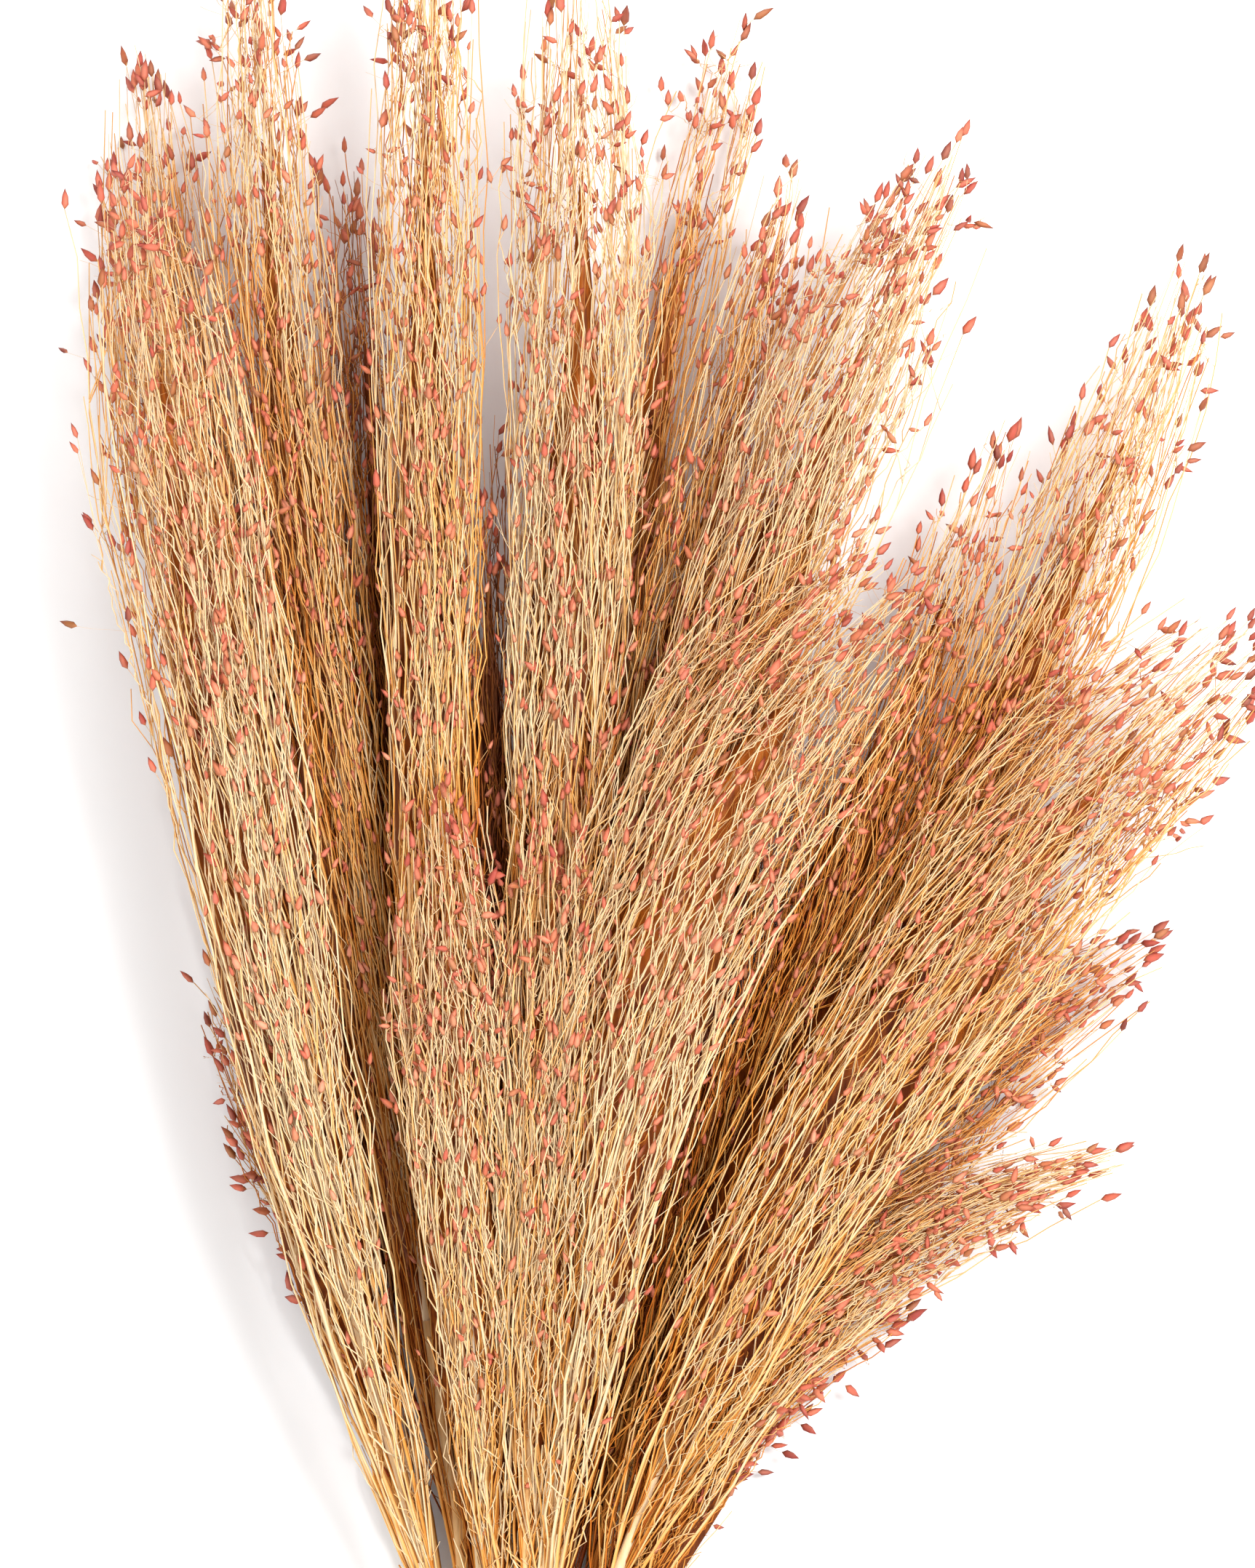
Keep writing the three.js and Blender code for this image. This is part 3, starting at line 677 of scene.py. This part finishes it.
def forked(
    panicle, rng, parents, count, points, spots, lengths, opening,
    curl=1.4, limit=0.97, outward=0.8, kink=0.6, push=0.0, highest=1.5,
):
    """Rays that fork off parents at a spot within spots, a range of shares of the parent. Each has a length
    in millimetres and an opening angle in radians from those ranges, in a turn of its own round the parent,
    and push turns it away from the head's middle. It ends within limit of the middle, give or take
    FORK_LIMITS, and no higher than highest. With curl above 1 it bends back along the flow: its place eases
    out by 1 less (1 less t) to the curl. Parents whose middle lies further out are picked more often, by
    their share to outward."""
    weight = np.clip(parents["shares"].mean(axis=1), 0.02, 1) ** outward
    parent = rng.choice(len(weight), count, p=weight / weight.sum())
    spot = (parents["shares"].shape[1] - 1) * rng.uniform(*spots, count)
    share = picked(parents["shares"], parent, spot)
    place = picked(parents["places"], parent, spot)
    start = picked(parents["paths"], parent, spot)
    length = rng.uniform(*lengths, count) * MM
    opened = rng.uniform(*opening, count)
    way = unit(around(rng.uniform(0, 2 * np.pi, count)) + push * place)
    step = (length * np.sin(opened) / width_at(panicle, share))[:, None]
    goal = held_in(place + step * way / [1, FLATNESS], limit * rng.uniform(*FORK_LIMITS, (count, 1)))
    goal[:, 1] = np.minimum(goal[:, 1], highest)
    reach = share + length * np.cos(opened) / head_length(panicle)
    spread = END_SPREAD / head_length(panicle)
    last = LAST_END - DOME / head_length(panicle) * goal[:, 0] ** 2
    reach = np.where(reach > last - spread, last - spread * rng.random(count) ** 0.8, reach)
    t = np.linspace(0, 1, points)
    shares = share[:, None] + (np.maximum(reach, share + SHORT_STEP) - share)[:, None] * t
    places = place[:, None] + (goal - place)[:, None] * (1 - (1 - t) ** curl)[None, :, None]
    flow = in_head(panicle, shares, places)
    offset = (start - flow[:, 0])[:, None] * np.exp(-t / REJOIN)[None, :, None]
    sway = np.minimum(SWAY_SHARE * length, MOST_SWAY)[:, None, None]
    paths = swayed(panicle, rng, shares, flow + offset, length, sway, kink * MM)
    return dict(shares=shares, places=places, paths=paths)


forks = forked(PANICLES[0], np.random.default_rng(0), trial, 5, 8, (0.1, 0.9), (50, 90), (0.2, 0.5))
print("five forks of them start at shares", np.round(np.sort(forks["shares"][:, 0]), 2))

# %% [markdown]
# ## The tone of a strand
#
# A strand's tone rises with how openly it lies in the bunch and in its own head, so strands deep under
# others are golden and open ones pale: that is painted shade and light. Its underside is painted more
# golden than its top, as painted shade, and that warms the gaps between strands.

# %% Strands
# painted shade: the side and underside of each strand are darker than its top
ROUND_SHADE_TONES = np.array([-0.12, 0.05, -0.34])  # at the three corners of a strand: side, top and underside
# painted light and shade: how much paler open strands, and those on the outside and top of their head, are
OPEN_SHADE_TONE = 0.34
OUTER_SHADE_TONE = 0.22
CHANCE_TONE = 0.44
TIP_TONE = 0.1
TAPER = 0.6
LAST_SHARE = 1.05


def strands(panicle, rng, rays, radius, lift, tip_from):
    """Tubes of rays with their values. The radius tapers from the first to the second. A ray is paler
    the nearer to its tip and by its own chance, and, as painted light and shade, the more openly it lies
    in the bunch and in its own head. Its underside is painted more golden, as painted shade."""
    count, points = rays["shares"].shape
    taper = mix(radius[0], radius[1], np.linspace(0, 1, points) ** TAPER)
    radii = np.broadcast_to(taper * MM, (count, points))
    _, side, up = frame_at(panicle, rays["shares"])
    out = np.linalg.norm(rays["places"], axis=-1)
    outer = smooth((out + 0.4 * rays["places"][..., 1] - 0.2) / 0.7)
    chance = CHANCE_TONE * rng.random((count, 1)) ** 1.2
    # painted shade: rays deep in the bunch, or low and inside their own head, are darker
    light = OPEN_SHADE_TONE * openness(rays["paths"]) + OUTER_SHADE_TONE * outer
    tone = panicle["lift"] + lift + light + chance + TIP_TONE * rays["shares"]
    tip = np.clip((rays["shares"] - tip_from) / (LAST_SHARE - tip_from), 0, 1)
    sides = len(ROUND_SHADE_TONES)
    shape = tubes(rays["paths"], radii, side, up, sides)
    shape["values"] = dict(
        tone=np.clip(tone[..., None] + ROUND_SHADE_TONES, 0, 1).reshape(-1),
        tint=np.full(sides * count * points, panicle["tint"]),
        tip=np.repeat(tip.reshape(-1), sides),
    )
    return shape


trial_tones = strands(PANICLES[0], np.random.default_rng(0), trial, (0.4, 0.2), 0.0, 0.55)["values"]["tone"]
print("tones of the five rays:", round(trial_tones.min(), 2), "to", round(trial_tones.max(), 2))

# %% [markdown]
# ## Spikelets
#
# A spikelet is a closed pair of husks, pointed at its end. It sits on a ray's own tip, or hangs on a
# hair-thin pedicel. One husk is painted paler than the other, as a painted highlight, so each carries a
# value round its girth.

# %% Spikelets
SPIKELET_PROFILE = [(0.26, 0.95), (0.62, 0.78)]
SPIKELET_LENGTH = 5.4 * MM
SPIKELET_RADIUS = 1.1 * MM
CROWDED_FROM = 0.72
CROWDED_KEPT = 0.6
USUAL_SIZE = 0.78
RIPER_SIZE = 0.28


def perches(rng, rays, count):
    """Short ends for spikelets that sit on these rays themselves, near the upper side of the head. Each
    goes from half a point of its ray before its spot to the spot, and never up to the ray's own end."""
    weight = smooth(0.5 + rays["places"].mean(axis=1)[:, 1])
    ray = rng.choice(len(weight), count, p=weight / weight.sum())
    spot = rng.uniform(0.5, rays["shares"].shape[1] - 1.5, count)
    spots = np.stack([spot - 0.5, spot], axis=1)
    return {key: picked(rays[key], ray[:, None], spots) for key in ("shares", "places", "paths")}


def spikelets(rng, rays, share, sides=4, turned=0.15):
    """Spikelets on the ends of a share of these rays, or of fewer near the tip, where many rays end. Each
    is turned a little and has its own size. Those at the outline of the bunch are ripe, large and dark
    red, and those inside it small and pale coral."""
    crowded = smooth((rays["shares"][:, -1] - CROWDED_FROM) / 0.2)
    keep = rng.random(len(rays["paths"])) < share * mix(1, CROWDED_KEPT, crowded)
    feet = rays["paths"][keep, -1]
    way = unit(unit(feet - rays["paths"][keep, -2]) + rng.normal(0, turned, feet.shape))
    count = len(feet)
    out = np.maximum(bareness(feet), 0.5 * smooth((rays["shares"][keep, -1] - 0.78) / 0.22))
    size = np.clip(rng.normal(USUAL_SIZE, 0.13, count) + RIPER_SIZE * out, 0.4, 1.25)
    bend = rng.normal(0, 0.09, (count, 2))
    radius = SPIKELET_RADIUS * size * rng.uniform(0.8, 1.08, count)
    shape = spindles(feet, way, SPIKELET_LENGTH * size, SPIKELET_PROFILE, radius, bend, sides)
    turn = 2 * np.pi * np.arange(sides) / sides
    along = np.concatenate([[0], np.repeat([place for place, _ in SPIKELET_PROFILE], sides), [1]])
    # painted highlight: one side of each spikelet is paler
    husk = 0.5 + 0.5 * np.cos(turn + rng.uniform(0, 2 * np.pi, (count, 1)))
    ends = np.full((count, 1), 0.5)
    husk = np.concatenate([ends, np.tile(husk, len(SPIKELET_PROFILE)), ends], axis=1)
    tone = np.clip(0.5 * rng.random(count) + 0.6 * out * rng.random(count) ** 0.4, 0, 1)
    brown = 0.8 * rng.random(count) ** 4
    shape["values"] = dict(
        along=np.tile(along, count),
        tone=np.repeat(tone, len(along)),
        husk=husk.reshape(-1),
        brown=np.repeat(brown, len(along)),
    )
    return shape


print("a spikelet is", round(SPIKELET_LENGTH / MM, 1), "by", round(2 * SPIKELET_RADIUS / MM, 1), "mm")

# %% [markdown]
# ## Stems
#
# Below its head each panicle is a hollow straw stem. The stems run straight through the tie and flare a
# little to their cut ends, and go on thinner into the heads. A tube along a path makes them, and its first
# two rings go back inside the cut end, so the hollow needs no cut.

# %% Stems
CUT_LENGTH = 125 * MM
CUT_LENGTH_SPREAD = 12 * MM
CUT_FLARE = 0.35
HOLLOW = 4 * MM
HOLLOW_RADIUS = 0.6 * STEM_RADIUS
HOLLOW_LIP = 0.1 * MM
THINNEST_STEM = 0.5 * MM
STEM_TOP = 0.55
LOWER_POINTS = 8
UPPER_POINTS = 22
STEM_SIDES = 12


def tie_share(panicle):
    """The share at which the middle line leaves the tie: below 0, because 0 is where the head begins."""
    return -panicle["begin"] / (1 - panicle["begin"])


def stem_path(panicle, cut):
    """The stem's middle line: from its cut end, that far below the tie, through the tie and into the
    head."""
    above = np.array([*panicle["slot"], panicle["in_tie"]]) + TIE_MIDDLE
    below = above - [0, 2 * TIE_HALF, 0]
    end = below - np.array([*heading(-CUT_FLARE * panicle["lean"][0]), 0]) * cut
    end[2] += STEM_RADIUS + FLOOR_GAP - FIRST_STEM_Z
    lower = [mix(end, below, s) for s in np.linspace(0, 1, LOWER_POINTS)]
    upper = axis_at(panicle, np.linspace(tie_share(panicle), STEM_TOP, UPPER_POINTS))
    return np.concatenate([np.array(lower + [mix(below, above, 0.5)]), upper])


def stem(panicle, rng):
    """A tube along the stem, thinner inside the head. Its first two rings are narrower and inside the cut
    end, so they make its hollow, and they take the direction of the stem outside them."""
    path = stem_path(panicle, CUT_LENGTH + CUT_LENGTH_SPREAD * (rng.random() - 0.5))
    thinner = mix(STEM_RADIUS, THINNEST_STEM, np.linspace(0, 1, UPPER_POINTS) ** 1.3)
    radii = np.concatenate([np.full(LOWER_POINTS + 1, STEM_RADIUS), thinner])
    inward = unit(path[1] - path[0])
    path = np.concatenate([[path[0] + inward * HOLLOW, path[0] + inward * HOLLOW_LIP], path])
    radii = np.concatenate([np.full(2, HOLLOW_RADIUS), radii])
    along = unit(np.gradient(path, axis=0))
    along[:4] = along[4]
    side = unit(np.cross(along, [0, 0, 1]))[None]
    shape = tubes(path[None], radii[None], side, np.cross(side, along[None]), STEM_SIDES)
    count = STEM_SIDES * len(path)
    tone = np.full(count, rng.uniform(0.5, 0.75))
    tint = np.full(count, 0.35 + 0.4 * panicle["tint"])
    shape["values"] = dict(tone=tone, tint=tint, tip=np.zeros(count))
    return shape


print("cut ends:", round(CUT_LENGTH / MM), "mm below the tie")

# %% [markdown]
# ## Sheaths
#
# A leaf sheath wraps each stem above the tie and ends below or in the head. It is a thin shell, open along
# one side, so its section goes round outside and comes back inside.

# %% Sheaths
SHEATH_RINGS = 12
SHEATH_SIDES = 9
SHEATH_WALL = 0.1


def sheet_corners(rings, columns):
    """Corners of the four-cornered faces of a closed sheet. Each of its rings goes over the columns outside
    and over as many back inside. Faces join each ring to the next, and a strip of them closes each end."""
    number = np.arange(rings * 2 * columns).reshape(rings, 2 * columns)
    low, high = number[:-1], number[1:]
    quads = np.stack([low, high, np.roll(high, -1, 1), np.roll(low, -1, 1)], -1).reshape(-1)
    k = np.arange(columns - 1)
    cap = np.stack([k, k + 1, 2 * columns - 2 - k, 2 * columns - 1 - k], -1)
    return np.concatenate([quads, cap.reshape(-1), number[-1][cap[:, ::-1]].reshape(-1)])


def sheath(panicle, rng):
    """The leaf sheath that wraps the stem above the tie: a shell open along one side, less and less wide
    towards its upper end, where it lies closer to the stem."""
    share = np.linspace(tie_share(panicle) * 0.96, rng.uniform(0.04, 0.2), SHEATH_RINGS)
    path = axis_at(panicle, share)
    along = unit(np.gradient(path, axis=0))
    side = unit(np.cross(along, [0, 0, 1]))
    up = np.cross(side, along)
    half = np.pi * mix(0.86, 0.35, np.linspace(0, 1, SHEATH_RINGS) ** 2)[:, None]
    turn = rng.uniform(0, 2 * np.pi) + np.linspace(-1, 1, SHEATH_SIDES) * half
    turn = np.concatenate([turn, turn[:, ::-1]], axis=1)
    outer = STEM_RADIUS * mix(1.45, 1.2, np.linspace(0, 1, SHEATH_RINGS))[:, None]
    radius = outer * np.repeat([1.0, 1 - SHEATH_WALL], SHEATH_SIDES)
    ring = side[:, None] * np.cos(turn)[..., None] + up[:, None] * np.sin(turn)[..., None]
    vertices = path[:, None] + radius[..., None] * ring
    corners = sheet_corners(SHEATH_RINGS, SHEATH_SIDES)
    tone = rng.uniform(0.45, 0.8) + 0.06 * rng.normal(size=SHEATH_SIDES)
    tone = np.tile(np.concatenate([tone, tone[::-1]]), SHEATH_RINGS)
    tint = np.full(len(tone), rng.uniform(0.3, 0.9))
    return dict(
        vertices=vertices.reshape(-1, 3),
        corners=corners,
        sizes=np.full(len(corners) // 4, 4),
        values=dict(tone=tone, tint=tint, tip=np.zeros(len(tone))),
    )


print("sheaths:", round(STEM_RADIUS * SHEATH_WALL * 1.45 / MM, 2), "mm thick at the tie")

# %% [markdown]
# ## The mass of a head
#
# Inside the head the rays lie so close that no daylight comes through. A wide, low, ribbed mass, as on the
# solid, lies under the finer rays and thins out towards the tip. Its deep golden brown, darkest at the root
# and in shaded heads, is painted shade.

# %% The mass of a head
MASS_GIRTH = 0.72
MASS_SHADE = 0.3  # how much wider a mass is, beside how deep in the shade its head lies
MASS_FLATNESS = 0.52
MASS_DROP = 0.32  # how far below the middle line it lies
MASS_SIDES = 26
MASS_RINGS = 22
RIB_DEPTH = 0.2


def mass(panicle, rng):
    """A ribbed tube low in the middle of a head. Its girth, in half widths, rises slowly and falls to
    nothing by the tip, and is larger in the shade. Every other rib stands out, and each has its own depth.
    Its tone is painted shade: it rises evenly from root to tip, and less in the shade."""
    shade = min(panicle["lift"], 0)
    share = np.linspace(0.0, 0.9, MASS_RINGS)
    fullest = MASS_GIRTH - MASS_SHADE * shade
    girth = fullest * np.minimum(smooth((share - 0.02) / 0.4), smooth((0.95 - share) / 0.5))
    turn = 2 * np.pi * np.arange(MASS_SIDES) / MASS_SIDES
    ribs = 1 + RIB_DEPTH * (-1.0) ** np.arange(MASS_SIDES) * rng.uniform(0.4, 1, MASS_SIDES)
    places = (girth[:, None] * ribs)[..., None] * around(turn) * [1, MASS_FLATNESS] - [0, MASS_DROP]
    vertices = in_head(panicle, np.broadcast_to(share[:, None], places.shape[:2]), places)
    number = np.arange(MASS_RINGS * MASS_SIDES).reshape(MASS_RINGS, MASS_SIDES)
    low, high = number[:-1], number[1:]
    quads = np.stack([low, high, np.roll(high, -1, 1), np.roll(low, -1, 1)], -1).reshape(-1)
    # painted shade: the mass is dark, darkest at the root and in heads in the shade
    tone = 0.1 * rng.random(MASS_SIDES) - 0.2 + (0.34 + 0.6 * shade) * share[:, None]
    tint = np.full(tone.size, 0.5 * panicle["tint"])
    return dict(
        vertices=vertices.reshape(-1, 3),
        corners=np.concatenate([quads, number[0], number[-1, ::-1]]),
        sizes=np.concatenate([np.full(len(quads) // 4, 4), np.full(2, MASS_SIDES)]),
        values=dict(tone=tone.reshape(-1), tint=tint, tip=np.zeros(tone.size)),
    )


print("masses:", MASS_RINGS, "rings of", MASS_SIDES)

# %% [markdown]
# ## Growing a panicle
#
# A panicle branches over and over: mains, long sides on them, then more and shorter ones, twigs on those,
# and at last hairs that each carry one spikelet. Under the mains lie plain rays that close the head from
# below. Low in the head, where the photograph shows bare, broken straw, short spurs and stubs stand out.

# %% The rays of a panicle
USUAL_HEAD = 400 * MM
STALK_ROOT = 16 * MM
STALK_SPREAD = 0.1
STALK_RUN = 130 * MM


def shortness(panicle):
    """A head's length beside the usual one, and 1 for longer ones."""
    return min(1, head_length(panicle) / USUAL_HEAD)


def all_rays(panicle, rng):
    """All rays of a panicle by kind, in the order in which they branch. Counts go with the head's fill, and
    those of hairs, and the lengths of long forks, with its length as well."""
    fill = panicle["fill"]
    short = shortness(panicle)

    def many(count):
        """A count for this head's fill."""
        return round(count * fill)

    def fewer(count):
        """A count for this head's fill and length."""
        return round(count * fill * short)

    def long(low, high):
        """A range of lengths for this head's length."""
        return low * short**0.7, high * short**0.7

    def add(*numbers, **others):
        """Forks in this head."""
        return forked(panicle, rng, *numbers, **others)

    stalk_count = 10 if panicle["lift"] < SHADED else 4
    hair = dict(curl=1.2, outward=-0.3, push=0.5, highest=0.85)
    mains = main_rays(panicle, rng, many(34), 28, 1)
    unders = main_rays(panicle, rng, many(20), 10, -1)
    stalks = main_rays(panicle, rng, stalk_count, 16, 1, STALK_ROOT, STALK_SPREAD, STALK_RUN, 0.5)
    sides = add(mains, many(78), 20, (0.08, 0.9), long(90, 150), (0.08, 0.34), outward=1.1, kink=0.85)
    belows = add(unders, many(22), 8, (0.1, 0.9), long(60, 120), (0.06, 0.24), outward=0.8)
    more = add(mains, many(114), 11, (0.12, 0.98), long(50, 95), (0.15, 0.5), outward=1.4, kink=0.9)
    lows = add(mains, many(80), 7, (0.0, 0.4), (14, 40), (0.3, 0.8), limit=1.05, outward=-0.7, kink=1.2)
    spurs = add(mains, many(50), 3, (0.02, 0.5), (4, 12), (0.5, 1.1), curl=1.1, limit=1.1, outward=-0.7)
    stubs = add(mains, many(7), 4, (0.0, 0.2), (6, 14), (0.5, 0.9), curl=1.1, limit=1.5, outward=-1.5)
    twigs = add(more, many(140), 6, (0.1, 0.98), (20, 44), (0.2, 0.7), outward=1.1, kink=0.9, highest=0.95)
    hung = add(sides, fewer(125), 3, (0.0, 1), (8, 20), (0.25, 0.85), limit=1.25, **hair)
    ends = add(twigs, fewer(95), 3, (0.3, 1), (7, 16), (0.25, 0.85), limit=1.2, **hair)
    loose = add(sides, fewer(30), 5, (0.3, 1), (20, 42), (0.2, 0.6), curl=1.1, limit=1.5, push=1.0)
    return dict(
        mains=mains, unders=unders, stalks=stalks, sides=sides, belows=belows, more=more, lows=lows,
        spurs=spurs, stubs=stubs, twigs=twigs, hung=hung, ends=ends, loose=loose,
    )


# %% Growing all panicles
# For each kind: its radii at root and tip in millimetres, how much paler it is, and where its tip begins.
STRANDS = [
    ("mains", (0.4, 0.2), 0.0, 0.55),
    ("unders", (0.42, 0.2), 0.0, 0.55),
    ("stalks", (0.95, 0.22), 0.08, 0.55),
    ("sides", (0.31, 0.19), 0.03, 0.55),
    ("belows", (0.32, 0.18), 0.0, 0.55),
    ("more", (0.28, 0.18), 0.05, 0.55),
    ("lows", (0.26, 0.16), 0.08, 0.55),
    ("spurs", (0.22, 0.13), 0.14, 0.55),
    ("stubs", (0.42, 0.3), 0.16, 0.55),
    ("twigs", (0.23, 0.15), 0.07, 0.55),
    ("hung", (0.14, 0.1), 0.1, 0.3),
    ("ends", (0.14, 0.1), 0.1, 0.3),
    ("loose", (0.14, 0.1), 0.1, 0.3),
]
# The share of each kind's ends that carry a spikelet, and how many more sit along some of the rays.
FRUIT = [
    ("mains", 0.6), ("sides", 0.6), ("more", 0.6), ("twigs", 0.7), ("hung", 1), ("ends", 1), ("loose", 1),
    ("spurs", 0.08),
]
PERCHED = [("sides", 75), ("more", 85), ("twigs", 90)]
PERCHED_SIDES = 3
PERCHED_TURN = 0.24
FIRST_SEED = 300


def grow(panicle, rng):
    """One panicle's rays, spikelets and stem, as three objects with their slots."""
    rays = all_rays(panicle, rng)
    straw = [strands(panicle, rng, rays[kind], *looks) for kind, *looks in STRANDS]
    husks = [spikelets(rng, rays[kind], share) for kind, share in FRUIT]
    for kind, count in PERCHED:
        spots = perches(rng, rays[kind], round(count * panicle["fill"] * shortness(panicle)))
        husks.append(spikelets(rng, spots, 1, PERCHED_SIDES, PERCHED_TURN))
    solid = [stem(panicle, rng), sheath(panicle, rng), mass(panicle, rng)]
    return (
        (put_mesh("rays_" + panicle["name"], straw, RAYS), "straw"),
        (put_mesh("spikelets_" + panicle["name"], husks, HUSKS), "spikelet"),
        (put_mesh("stem_" + panicle["name"], solid, STEMS), "straw"),
    )


for number, panicle in enumerate(PANICLES):
    for piece, slot in grow(panicle, np.random.default_rng(FIRST_SEED + number)):
        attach(piece, "root")
        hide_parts("panicle_" + panicle["name"])
print("panicles grown:", len(PANICLES), "with", sum(triangle_count.values()), "triangles")

# %% [markdown]
# ## The tie
#
# The bunch is whipped with raffia: flat dried leaf, torn into ribbons, wound tight several times and tucked
# under itself. A ribbon follows the tightest band round the stems, which is found as a rubber band would
# find it: in each direction it stands off as little as any straight edge that touches the stems allows.
# Three windings of unequal pitch cross each other, so no two turns look alike.

# %% Raffia windings
GAP = 0.3 * MM
BAND_HEIGHT = FIRST_STEM_Z + 1.5 * STEM_PITCH
BAND_FACINGS = 72
RIBBON_COLUMNS = 6
RIBBON_THICK = 0.25 * MM
POINTS_A_TURN = 44
WANDER = 0.5 * MM
FOLD = 0.12 * MM


def band_radius(angle):
    """How far a band pulled tight round the stems stands from their middle, at each angle: the least, over
    all directions that an edge can face, of its distance by the cosine between the two."""
    stems = np.array([[panicle["slot"][0], panicle["in_tie"] - BAND_HEIGHT] for panicle in PANICLES])
    facing = np.linspace(0, 2 * np.pi, BAND_FACINGS, endpoint=False)
    far = STEM_RADIUS + 2 * GAP + (stems @ np.stack([np.cos(facing), np.sin(facing)])).max(axis=0)
    turned = np.cos(angle[..., None] - facing)
    return np.where(turned > 0.05, far / np.maximum(turned, 0.05), np.inf).min(axis=-1)


def ribbon(rng, turns, width, first, last, lift):
    """A flat ribbon wound from first to last along the stems, with a wandering edge and narrow ends. Its
    section goes across outside and back inside, and each fibre across it has its own tone."""
    points = round(turns * POINTS_A_TURN)
    t = np.linspace(0, 1, points)
    angle = rng.uniform(0, 2 * np.pi) + 2 * np.pi * turns * t
    wander = WANDER * np.sin(angle * 0.37 + rng.uniform(0, 6)) * np.sin(np.pi * t)
    uneven = 1 + 0.18 * np.sin(angle * 0.81 + rng.uniform(0, 6))
    half = 0.5 * width * uneven * np.minimum(1, 12 * t * (1 - t) + 0.2)
    across = np.linspace(-1, 1, RIBBON_COLUMNS)
    fold = FOLD * np.sin(np.pi * across * 1.5 + angle[:, None] * 0.5)
    y = mix(first, last, t)[:, None] + wander[:, None] + half[:, None] * across
    out = band_radius(angle)[:, None] + lift + fold

    def sheet(radius):
        """Points at a radius round the stems."""
        x = radius * np.cos(angle)[:, None]
        return np.stack([x, y, BAND_HEIGHT + radius * np.sin(angle)[:, None]], -1)

    vertices = np.concatenate([sheet(out + RIBBON_THICK), sheet(out)[:, ::-1]], axis=1) + TIE_MIDDLE
    corners = np.roll(sheet_corners(points, RIBBON_COLUMNS).reshape(-1, 4)[:, ::-1], 1, axis=1).reshape(-1)
    fibre = rng.uniform(0.35, 0.85, RIBBON_COLUMNS)
    tone = np.tile(np.concatenate([fibre, fibre[::-1]]), points)
    return dict(
        vertices=vertices.reshape(-1, 3),
        corners=corners,
        sizes=np.full(len(corners) // 4, 4),
        values=dict(tone=tone, tint=np.full(len(tone), 0.6), tip=np.zeros(len(tone))),
    )


rng = np.random.default_rng(77)
reach = TIE_HALF - 2 * MM
windings = [
    ribbon(rng, 6.4, 4.2 * MM, -reach, reach, 0.0),
    ribbon(rng, 5.7, 3.4 * MM, reach, -reach, 0.4 * MM),
    ribbon(rng, 3.2, 2.6 * MM, -0.6 * reach, 0.5 * reach, 0.8 * MM),
]
raffia_tie = put_mesh("raffia_windings", windings, RAFFIA)
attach(raffia_tie, "root")
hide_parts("raffia_tie")
print("triangles:", sum(triangle_count.values()), "most in one piece:", max(triangle_count.values()))

# %% [markdown]
# ## The table, the light and the camera
#
# The bunch lies on a white table under one large soft light from the right, so its shadow falls to the
# left, and a white sky fills in the shade. The camera looks straight down on it.

# %% Table, light and camera
TABLE_SIZE = 6
TABLE_GREY = 0.86
VIEW_HEIGHT = 431.2 * MM
VIEW_MIDDLE = (28.5 * MM, 310.4 * MM)
MID_HEIGHT = 40 * MM
FOCAL_LENGTH = 85
SENSOR = 24
KEY_OFFSET = (0.65, 0.3, 1.45)
KEY_SIZE = 0.5
KEY_POWER = 22
SKY_STRENGTH = 1.3


def stage():
    """A pale table top."""
    bpy.ops.mesh.primitive_plane_add(size=TABLE_SIZE, location=(0, 0, 0))
    table = bpy.context.object
    table.name = "table"
    material, _, shader = surface("table white", 0.9)
    shader.inputs["Base Color"].default_value = (TABLE_GREY, TABLE_GREY, TABLE_GREY, 1)
    table.data.materials.append(material)


def light(name, place, size, power, target):
    """A square area light at a place, turned to a target."""
    data = bpy.data.lights.new(name, "AREA")
    data.size = size
    data.energy = power
    lamp = bpy.data.objects.new(name, data)
    lamp.location = place
    lamp.rotation_euler = (Vector(target) - Vector(place)).to_track_quat("-Z", "Y").to_euler()
    bpy.context.scene.collection.objects.link(lamp)


def look_down():
    """The camera, as far above the middle of the heads as the view's height asks for: that height times the
    focal length by the sensor's."""
    data = bpy.data.cameras.new("camera")
    data.sensor_width = SENSOR
    data.lens = FOCAL_LENGTH
    made = bpy.data.objects.new("camera", data)
    bpy.context.scene.collection.objects.link(made)
    made.location = (
        TIE_MIDDLE[0] + VIEW_MIDDLE[0],
        TIE_MIDDLE[1] + VIEW_MIDDLE[1],
        MID_HEIGHT + VIEW_HEIGHT * FOCAL_LENGTH / SENSOR,
    )
    bpy.context.scene.camera = made
    return made


camera = look_down()
stage()
centre = (camera.location.x, camera.location.y, 0)
light("key", tuple(c + o for c, o in zip(centre, KEY_OFFSET)), KEY_SIZE, KEY_POWER, centre)
world = bpy.data.worlds.new("studio")
bpy.context.scene.world = world
world.use_nodes = True
background = world.node_tree.nodes["Background"]
background.inputs["Color"].default_value = (1, 1, 1, 1)
background.inputs["Strength"].default_value = SKY_STRENGTH
bpy.context.scene.view_settings.view_transform = "Standard"
print("camera at", [round(v, 3) for v in camera.location])
